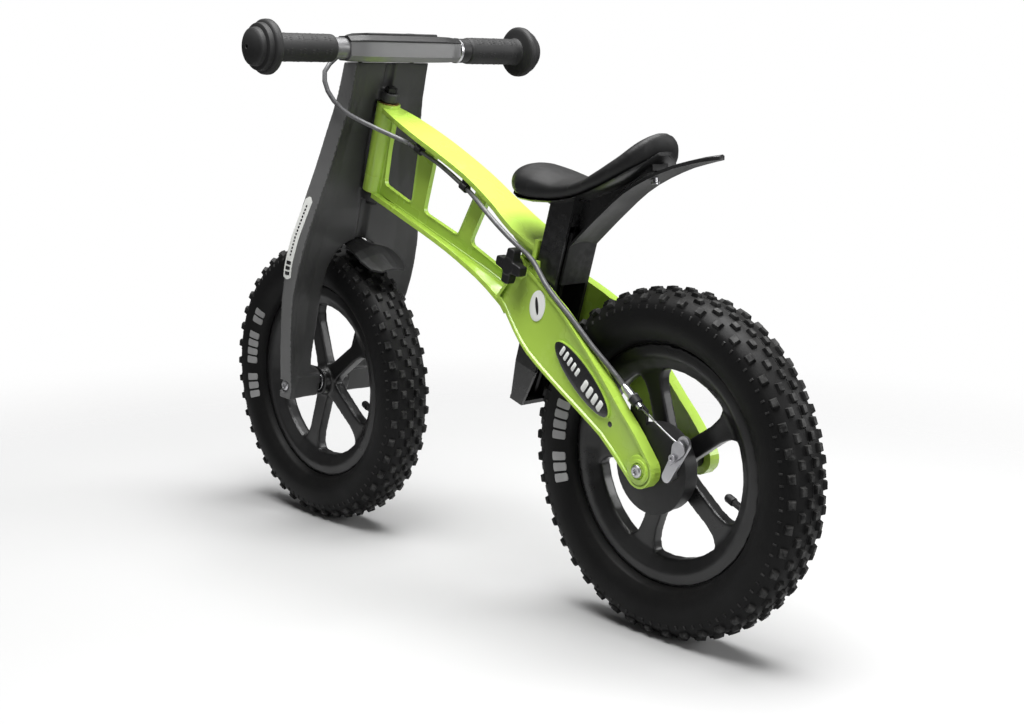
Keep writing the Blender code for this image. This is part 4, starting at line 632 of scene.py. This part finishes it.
def makeMoulded(node, look):
    # an even skin of voxels, then passes of smoothing
    piece = addPiece(look["name"], cleanCopy(node, flatten=0), look["finish"], sharp=180)
    remesh = piece.modifiers.new("evenSkin", "REMESH")
    remesh.mode = "VOXEL"
    remesh.voxel_size = look["voxel"]
    relax = piece.modifiers.new("relax", "SMOOTH")
    relax.factor = 0.5
    relax.iterations = look["passes"]
    evaluated = piece.evaluated_get(bpy.context.evaluated_depsgraph_get())
    settled = bpy.data.meshes.new_from_object(evaluated)
    piece.modifiers.clear()
    piece.data = settled
    settled.shade_smooth()
    # the fork's outer faces that face sideways take the lighter grey copy of its finish: painted light
    # on these bands
    if "flank" in look:
        settled.materials.append(finishes[look["flank"]])
        for polygon in settled.polygons:
            side = math.copysign(1, polygon.center.y)
            outside = side * polygon.center.y > look["flankFrom"]
            polygon.material_index = int(outside and side * polygon.normal.y > look["flankFacing"])
    if "swell" in look:
        share, scale = look["uneven"]
        for vert in settled.vertices:
            vert.co += vert.normal * (look["swell"] * (1 + share * noise.noise(vert.co * scale)))
    if "fine" in look:
        fine = piece.modifiers.new("fineSkin", "SUBSURF")
        fine.levels = fine.render_levels = look["fine"]
    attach(piece, bodyOf[node])
    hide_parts(node)
    return piece


for node, look in moulded.items():
    piece = makeMoulded(node, look)
print("smooth mouldings made")

# cables: plain copies of the CAD cable meshes, baked in place

bending = {
    "brake_cable_loop": {
        "name": "bendingCable",
        "finish": "cableSleeve",
        "bodies": ("frame", "steering"),
        "start": (0.104, 0.024, 0.440),
        "end": (0.173, 0.060, 0.521),
        "slot": "cable",
    },
    "brake_wire": {
        "name": "bendingWire",
        "finish": "platedSteel",
        "bodies": ("frame", "brake_arm"),
        "start": (-0.262, 0.034, 0.212),
        "end": (-0.305, 0.0436, 0.195),
        "slot": "steel",
    },
}


def makeBending(node, look):
    piece = addPiece(
        look["name"], cleanCopy(node, flatten=0), look["finish"], sharp=50,
    )
    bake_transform(piece)
    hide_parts(node)


for node, look in bending.items():
    makeBending(node, look)
print("cables made")

# moulded and machined parts: clean copies with soft edges and their own finish

partLooks = {
    # finish, width of the soft edge in metres, steps across it
    "bar_clamp": ("greyPaint", 0.0034, 4),
    "bar_clamp_cover": ("softBlack", 0.0012, 3),
    "handlebar": ("greyPaint", 0.0004, 2),
    "brake_lever_bracket": ("softBlack", 0.0006, 2),
    "bracket_band": ("satinAlloy", 0.0005, 2),
    "brake_lever": ("softBlack", 0.0006, 2),
    "seat_post": ("blackMoulding", 0.0008, 2),
    "saddle_shell": ("blackMoulding", 0.0006, 2),
    "tail_guard": ("softBlack", 0.0006, 2),
    "brake_cover": ("softBlack", 0.0006, 2),
    "brake_arm": ("satinAlloy", 0.0004, 2),
    "cable_pinch_plate": ("satinAlloy", 0.0003, 2),
    "cable_adjuster": ("satinAlloy", 0.0003, 2),
    "adjuster_lock_nut": ("satinAlloy", 0.0003, 2),
    "brake_drum": ("softBlack", 0.0006, 2),
    "cable_clip_front": ("softBlack", 0.0003, 2),
    "cable_clip_rear": ("softBlack", 0.0003, 2),
    "rear_spacer_left": ("blackMoulding", 0.0003, 2),
    "rear_spacer_right": ("blackMoulding", 0.0003, 2),
    "front_valve_cap": ("softBlack", 0.0003, 2),
    "rear_valve_cap": ("softBlack", 0.0003, 2),
    "brake_cable_housing": ("cableSleeve", 0, 0),
    "front_inner_tube": ("tyreRubber", 0, 0),
    "rear_inner_tube": ("tyreRubber", 0, 0),
    "steering_pin": ("softBlack", 0.0004, 2),
    "steering_pin_nut": ("softBlack", 0.0004, 2),
    "head_bush_upper": ("bushBronze", 0.0002, 2),
    "head_bush_lower": ("bushBronze", 0.0002, 2),
    "brake_shoe_upper": ("brakeLining", 0.0003, 2),
    "brake_shoe_lower": ("brakeLining", 0.0003, 2),
}
boltLook = ("satinAlloy", 0.0004, 2)  # the four axle bolts
steelLook = ("platedSteel", 0.0003, 2)  # any other steel part
madeAbove = ("frame", "front_tyre", "rear_tyre", "grip_left", "grip_right", *moulded, *bending)
flatWithin = 0.6  # degrees


def makePart(node, finish, width, segments):
    flatten = flatWithin if width else 0
    name = "".join(word.capitalize() if k else word for k, word in enumerate(node.split("_"))) + "Part"
    piece = addPiece(name, cleanCopy(node, flatten), finish, bodyOf[node], sharp=34)
    if width:
        soften(piece, width, segments)
    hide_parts(node)


frameLook = {
    # border, slope and depth of the panels
    "arm": (0.0030, 0.0009, 0.0017),
    "web": (0.0010, 0.0005, 0.0008),
    "edge": 0.0008,
    "facing": 0.9,  # how squarely a panel's face looks sideways
    "armFrom": 0.028,
    "webWithin": 0.004,
    "flatten": 0.4,  # degrees
}


def makeFrame():
    # the CAD frame with shallow panels inside raised borders on the arms and the web
    look = frameLook
    bm = cleanCopy("frame", 0)

    def zoneOf(face):
        y, facing = face.calc_center_median().y, face.normal.y
        if abs(facing) < look["facing"]:
            return None
        if y * facing > 0 and abs(y) > look["armFrom"]:
            return "arm" + sideName(y)
        if abs(y) < look["webWithin"]:
            return "web" + sideName(facing)
        return None

    zones = {}
    for face in bm.faces:
        zone = zoneOf(face)
        if zone:
            zones.setdefault(zone, []).append(face)
    for zone, faces in zones.items():
        border, slope, panel = look[zone[:3]]
        for width, even in ((border, True), (slope, False)):
            bmesh.ops.inset_region(
                bm, faces=faces, use_boundary=True, use_even_offset=even, thickness=width, depth=0,
            )
        inward = -panel if zone.endswith("Left") else panel
        for vert in {vert for face in faces for vert in face.verts}:
            vert.co.y += inward
    bmesh.ops.dissolve_limit(
        bm, angle_limit=math.radians(look["flatten"]), verts=bm.verts, edges=bm.edges,
    )
    bmesh.ops.triangulate(bm, faces=bm.faces, quad_method="BEAUTY", ngon_method="BEAUTY")
    piece = addPiece("relievedFrame", bm, "limeShell", "frame", sharp=30)
    soften(piece, look["edge"], 2)
    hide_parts("frame")


makeFrame()
for node in sorted(cadNodes):
    if node in madeAbove:
        continue
    if node in partLooks:
        makePart(node, *partLooks[node])
    elif "axle_bolt" in node:
        makePart(node, *boltLook)
    elif slotOf[node] == "steel":
        makePart(node, *steelLook)
print("parts finished")

# plain marks on the frame, fork and handlebar

plates = {
    "armBadge": {
        "middle": (-0.1921, 0.2319), "size": (0.0900, 0.0262), "lean": 39.5, "face": 0.0432,
        "slope": (-0.0159, -0.0159), "rise": 0.0016, "finish": "badgeFace",
    },
    "badgeRim": {
        "middle": (-0.1921, 0.2319), "size": (0.0930, 0.0288), "lean": 39.5, "face": 0.0432,
        "slope": (-0.0159, -0.0159), "rise": 0.0010, "finish": "limeShell",
    },
    "armDisc": {
        "middle": (-0.1240, 0.2908), "size": (0.0290, 0.0245), "lean": 97.0, "face": 0.0357,
        "slope": (-0.1430, -0.1430), "rise": 0.0007, "finish": "paleMark",
    },
    "armDiscBar": {
        "middle": (-0.1240, 0.2908), "size": (0.0170, 0.0046), "lean": 72.0, "face": 0.0364,
        "slope": (-0.1430, -0.1430), "rise": 0.0004, "finish": "badgeFace",
    },
    "armHole": {
        "middle": (-0.2290, 0.1957), "size": (0.0058, 0.0058), "lean": 0.0, "face": 0.0430,
        "slope": (0.0, 0.0), "rise": 0.0004, "finish": "badgeFace",
    },
}
plateSteps = 56
plateSink = 0.0016  # how far a plate's foot reaches into the arm
plateDome = 0.0004


def makePlate(name, look, side):
    # an oval plate with a softly domed face, laid on the outer side of an arm
    bm = bmesh.new()
    turn = math.radians(look["lean"])
    length, width = look["size"]
    dome = min(plateDome, 0.5 * look["rise"])
    rings = []
    rise = look["rise"]
    for inset, height in (
        (0.0, -plateSink), (0.0, rise - dome), (0.12, rise - 0.3 * dome), (0.35, rise),
    ):
        ring = []
        for k in range(plateSteps):
            angle = math.tau * k / plateSteps
            a = (0.5 * length - 0.5 * width * inset) * math.cos(angle)
            b = 0.5 * width * (1 - inset) * math.sin(angle)
            x = a * math.cos(turn) - b * math.sin(turn)
            z = a * math.sin(turn) + b * math.cos(turn)
            y = look["face"] + height + look["slope"][0] * x + look["slope"][1] * z
            ring.append(bm.verts.new((look["middle"][0] + x, side * y, look["middle"][1] + z)))
        rings.append(ring)
    skinRings(bm, rings)
    addPiece(name, bm, look["finish"], "frame", sharp=50)


barOutline = ((-1, -0.8), (-0.6, -1), (0.6, -1), (1, -0.8), (1, 0.8), (0.6, 1), (-0.6, 1), (-1, 0.8))
# height over the plate and share of the width
barLifts = ((-0.0006, 1.0), (0.0003, 1.0), (0.0006, 0.82))
barLean = 0.14
barRows = {
    "badgeBarsUpper": {
        "on": "armBadge", "start": (-0.1648, 0.2566), "end": (-0.1905, 0.2355), "count": 5,
        "height": (0.0100, 0.0085), "share": 0.56,
    },
    "badgeBarsLower": {
        "on": "armBadge", "start": (-0.1945, 0.2290), "end": (-0.2210, 0.2085), "count": 4,
        "height": (0.0120, 0.0105), "share": 0.66,
    },
}


def makeBarRow(name, look, side):
    # a leaning row of plain raised bars on an oval plate
    plate = plates[look["on"]]
    start, end = Vector(look["start"]), Vector(look["end"])
    step = (end - start) / look["count"]
    along = step.normalized()
    across = Vector((-along.y, along.x))
    bm = bmesh.new()
    for k in range(look["count"]):
        first, last = look["height"]
        height = first + (last - first) * k / max(1, look["count"] - 1)
        middle = start + step * (k + 0.5)
        halfWide, halfTall = 0.5 * step.length * look["share"], 0.5 * height
        rings = []
        for lift, shrink in barLifts:
            ring = []
            for a, b in barOutline:
                spot = middle + along * a * halfWide * shrink
                spot += across * (b * halfTall + barLean * a * halfWide) * (0.5 + 0.5 * shrink)
                dx, dz = spot.x - plate["middle"][0], spot.y - plate["middle"][1]
                y = plate["face"] + plate["rise"] + lift
                y += plate["slope"][0] * dx
                y += plate["slope"][1] * dz
                ring.append(bm.verts.new((spot.x, side * y, spot.y)))
            rings.append(ring)
        skinRings(bm, rings)
    addPiece(name, bm, "paleMark", "frame", sharp=40)


for side in (1, -1):
    for name, look in plates.items():
        makePlate(name + sideName(side), look, side)
    for name, look in barRows.items():
        makeBarRow(name + sideName(side), look, side)

labelLook = {
    "line": [
        (0.1931, 0.0718, 0.3760), (0.1997, 0.0766, 0.3567), (0.2036, 0.0794, 0.3449),
        (0.2078, 0.0819, 0.3330), (0.2112, 0.0837, 0.3210), (0.2148, 0.0848, 0.3100),
        (0.2181, 0.0854, 0.2990), (0.2207, 0.0852, 0.2868),
    ],
    "faces": (-0.43, 0.90, 0.0),
    "halfWidth": 0.0043,
    "rise": 0.0007,
    "crown": 0.0001,
    "sink": 0.0022,
    "tip": 0.06,
}


def makeForkLabel(side):
    # a plain strip with round ends that follows the fork's outer band
    look = labelLook
    points = [Vector(p) for p in look["line"]]
    line = []
    for k in range(len(points) - 1):
        near, far = points[k], points[k + 1]
        before, after = points[max(k - 1, 0)], points[min(k + 2, len(points) - 1)]
        square = 2 * before - 5 * near + 4 * far - after
        cube = 3 * near - before - 3 * far + after
        for step in range(4):
            t = step / 4
            line.append(0.5 * (2 * near + (far - before) * t + square * t**2 + cube * t**3))
    line.append(points[-1])
    bm = bmesh.new()
    rings = []
    facing = Vector(look["faces"]).normalized()
    total = len(line) - 1
    rise, crown = look["rise"], look["rise"] + look["crown"]
    section = (
        (-1, -look["sink"]), (-1, rise), (-0.4, crown), (0.4, crown), (1, rise), (1, -look["sink"]),
    )
    for k, place in enumerate(line):
        along = (line[min(k + 1, total)] - line[max(k - 1, 0)]).normalized()
        out = (facing - along * facing.dot(along)).normalized()
        across = out.cross(along)
        near = min(k, total - k) * (line[1] - line[0]).length  # way to the nearer end
        roundness = 1 - max(0.0, 1 - near / look["halfWidth"]) ** 2
        half = look["halfWidth"] * min(1.0, math.sqrt(max(look["tip"], roundness)))
        ring = [place + across * half * a + out * b for a, b in section]
        rings.append([bm.verts.new((v.x, side * v.y, v.z)) for v in ring])
    skinRings(bm, rings)
    addPiece("forkLabel" + sideName(side), bm, "paleMark", "steering", sharp=50)


labelBars = {
    # heights of both ends, how many, half their width, share of the pitch
    "broad": (0.2905, 0.3080, 3, 0.0027, 0.66),
    "fine": (0.312, 0.368, 15, 0.0009, 0.6),
    "cornerShare": 0.82,
    "foot": 0.0002,
    "crown": 0.0004,
}


def makeLabelBars(side):
    # plain dark bars along the label, three broad ones low down and a fine row above
    look = labelLook
    points = [Vector(p) for p in look["line"]]
    facing = Vector(look["faces"]).normalized()

    def along(height):
        for near, far in zip(points, points[1:]):
            if far.z <= height <= near.z:
                return near.lerp(far, (near.z - height) / (near.z - far.z)), (far - near).normalized()
        return points[-1], (points[-1] - points[-2]).normalized()

    bm = bmesh.new()
    rise = look["rise"]
    foot, crown = labelBars["foot"], labelBars["crown"]
    section = ((-1, foot), (-1, rise + foot), (0, rise + crown), (1, rise + foot), (1, foot))
    for low, high, count, halfWide, share in (labelBars["broad"], labelBars["fine"]):
        for k in range(count):
            rings = []
            for part in (-0.5, -0.4, 0.4, 0.5):
                spot, way = along(low + (high - low) * (k + 0.5 + part * share) / count)
                out = (facing - way * facing.dot(way)).normalized()
                across = out.cross(way)
                half = halfWide * (labelBars["cornerShare"] if abs(part) > 0.45 else 1.0)
                ring = [spot + across * half * a + out * b for a, b in section]
                rings.append([bm.verts.new((v.x, side * v.y, v.z)) for v in ring])
            skinRings(bm, rings)
    addPiece("forkLabelBars" + sideName(side), bm, "badgeFace", "steering", sharp=50)


for side in (1, -1):
    makeForkLabel(side)
    makeLabelBars(side)

shellLook = {"from": 0.5372, "swell": 0.0007, "edge": 0.0022}


def makeClampShell():
    # the dark moulded upper half that wraps over the clamp's edges
    look = shellLook
    bm = cleanCopy("bar_clamp", flatWithin)
    everything = bm.verts[:] + bm.edges[:] + bm.faces[:]
    level = (0, 0, look["from"])
    bmesh.ops.bisect_plane(bm, geom=everything, plane_co=level, plane_no=(0, 0, 1), clear_inner=True)
    bmesh.ops.holes_fill(bm, edges=bm.edges, sides=0)
    bmesh.ops.recalc_face_normals(bm, faces=bm.faces)
    bm.normal_update()
    for vert, facing in [(vert, vert.normal.copy()) for vert in bm.verts]:
        vert.co += facing * look["swell"]
    piece = addPiece("clampTopShell", bm, "softBlack", "steering", sharp=34)
    soften(piece, look["edge"], 3)


makeClampShell()

coverLook = {
    "middle": (0.1387, 0.0, 0.5462), "length": 0.040, "width": 0.0065, "rise": 0.0004, "sink": 0.0006,
}


def makeCoverMark():
    look = coverLook
    bm = bmesh.new()
    half, reach = look["width"] / 2, look["length"] / 2 - look["width"] / 2
    outline = []
    for side in (1, -1):
        for k in range(13):
            a = side * math.pi * (k / 12 - 0.5)
            outline.append((half * math.sin(a), side * reach + half * side * math.cos(a)))
    middle = look["middle"]
    rings = []
    for inset, z in ((0.0, -look["sink"]), (0.0, look["rise"] * 0.6), (0.12, look["rise"])):
        ring = [
            (middle[0] + x * (1 - inset), middle[1] + y * (1 - 0.2 * inset), middle[2] + z)
            for x, y in outline
        ]
        rings.append([bm.verts.new(spot) for spot in ring])
    skinRings(bm, rings)
    addPiece("coverMark", bm, "paleMark", "steering", sharp=50)


makeCoverMark()
print("marks made")

# studio

lamps = {
    "top": {"place": (-0.20, 0.0, 2.0), "size": (1.9, 1.7), "power": 118},
    "leftSide": {"place": (0.9, 2.3, 1.0), "size": (1.4, 1.2), "power": 2},
    "farSide": {"place": (-1.7, -1.9, 1.1), "size": (1.4, 1.0), "power": 27},
    "behind": {"place": (-2.6, 0.40, 0.75), "size": (0.9, 1.2), "power": 20},
}
lampAim = (0.0, 0.0, 0.25)


def addLamp(name, look):
    lamp = bpy.data.lights.new(name, "AREA")
    lamp.shape = "RECTANGLE"
    lamp.size, lamp.size_y = look["size"]
    lamp.energy = look["power"]
    holder = bpy.data.objects.new(name, lamp)
    holder.location = look["place"]
    aim = Vector(lampAim) - holder.location
    holder.rotation_euler = aim.to_track_quat("-Z", "Y").to_euler()
    bpy.context.scene.collection.objects.link(holder)


def makeFadeGroup():
    # how much of the floor is there, full near the object and none far away
    group, start, end = newGroup(
        "floorFade",
        [
            ("Place", "NodeSocketVector", None), ("Near", "NodeSocketFloat", 0.9),
            ("Far", "NodeSocketFloat", 2.2),
        ],
        ["Mask"],
    )
    length = group.nodes.new("ShaderNodeVectorMath")
    length.operation = "LENGTH"
    group.links.new(start.outputs["Place"], length.inputs[0])
    ramp = group.nodes.new("ShaderNodeMapRange")
    ramp.interpolation_type = "SMOOTHSTEP"
    ramp.inputs["To Min"].default_value = 1.0
    ramp.inputs["To Max"].default_value = 0.0
    group.links.new(length.outputs["Value"], ramp.inputs["Value"])
    group.links.new(start.outputs["Near"], ramp.inputs["From Min"])
    group.links.new(start.outputs["Far"], ramp.inputs["From Max"])
    group.links.new(ramp.outputs["Result"], end.inputs["Mask"])
    return group


floorLook = {
    "radius": 3.2,
    "rings": (0.02, 0.2, 0.4, 0.6, 0.8, 1.0),
    "steps": 64,
    "height": -0.0002,  # just under the tyres
    "colour": (0.430, 0.430, 0.430),
    "rough": 0.8,
    "shine": 0.1,
    "near": 0.35,
    "far": 1.35,
}


def addFloor():
    look = floorLook
    bm = bmesh.new()
    rings = []
    angles = [math.tau * k / look["steps"] for k in range(look["steps"])]
    for share in look["rings"]:
        radius = share * look["radius"]
        spots = [(radius * math.cos(a), radius * math.sin(a), look["height"]) for a in angles]
        rings.append([bm.verts.new(spot) for spot in spots])
    bm.faces.new(rings[0])
    for near, far in zip(rings, rings[1:]):
        for k in range(look["steps"]):
            j = (k + 1) % look["steps"]
            bm.faces.new((near[k], near[j], far[j], far[k]))
    material = bpy.data.materials.new("paleFloor")
    material.use_nodes = True
    tree = material.node_tree
    shader = tree.nodes["Principled BSDF"]
    shader.inputs["Base Color"].default_value = (*look["colour"], 1)
    shader.inputs["Roughness"].default_value = look["rough"]
    shader.inputs["Specular IOR Level"].default_value = look["shine"]
    place = tree.nodes.new("ShaderNodeTexCoord").outputs["Object"]
    fade = groupNode(tree, makeFadeGroup(), place, Near=look["near"], Far=look["far"])
    tree.links.new(fade["Mask"], shader.inputs["Alpha"])
    mesh = bpy.data.meshes.new("studioFloor")
    bmesh.ops.recalc_face_normals(bm, faces=bm.faces)
    bm.to_mesh(mesh)
    bm.free()
    mesh.materials.append(material)
    floor = bpy.data.objects.new("studioFloor", mesh)
    bpy.context.scene.collection.objects.link(floor)


worldLook = {"seen": 1.0, "reflected": 0.12, "fill": 0.07}


def setWorld():
    look = worldLook
    world = bpy.data.worlds.new("studioWorld")
    bpy.context.scene.world = world
    world.use_nodes = True
    tree = world.node_tree
    background = tree.nodes["Background"]
    background.inputs["Color"].default_value = (1, 1, 1, 1)
    path = tree.nodes.new("ShaderNodeLightPath")
    seen = mathNode(tree, "MAXIMUM", path.outputs["Is Camera Ray"], path.outputs["Is Transmission Ray"])
    strength = mathNode(tree, "MULTIPLY", seen, look["seen"] - look["fill"])
    shine = mathNode(tree, "MULTIPLY", path.outputs["Is Glossy Ray"], look["reflected"] - look["fill"])
    strength = mathNode(tree, "ADD", mathNode(tree, "ADD", strength, shine), look["fill"])
    tree.links.new(strength, background.inputs["Strength"])


for name, look in lamps.items():
    addLamp(name, look)
addFloor()
setWorld()
bpy.context.scene.view_settings.view_transform = "Standard"
print("studio set")
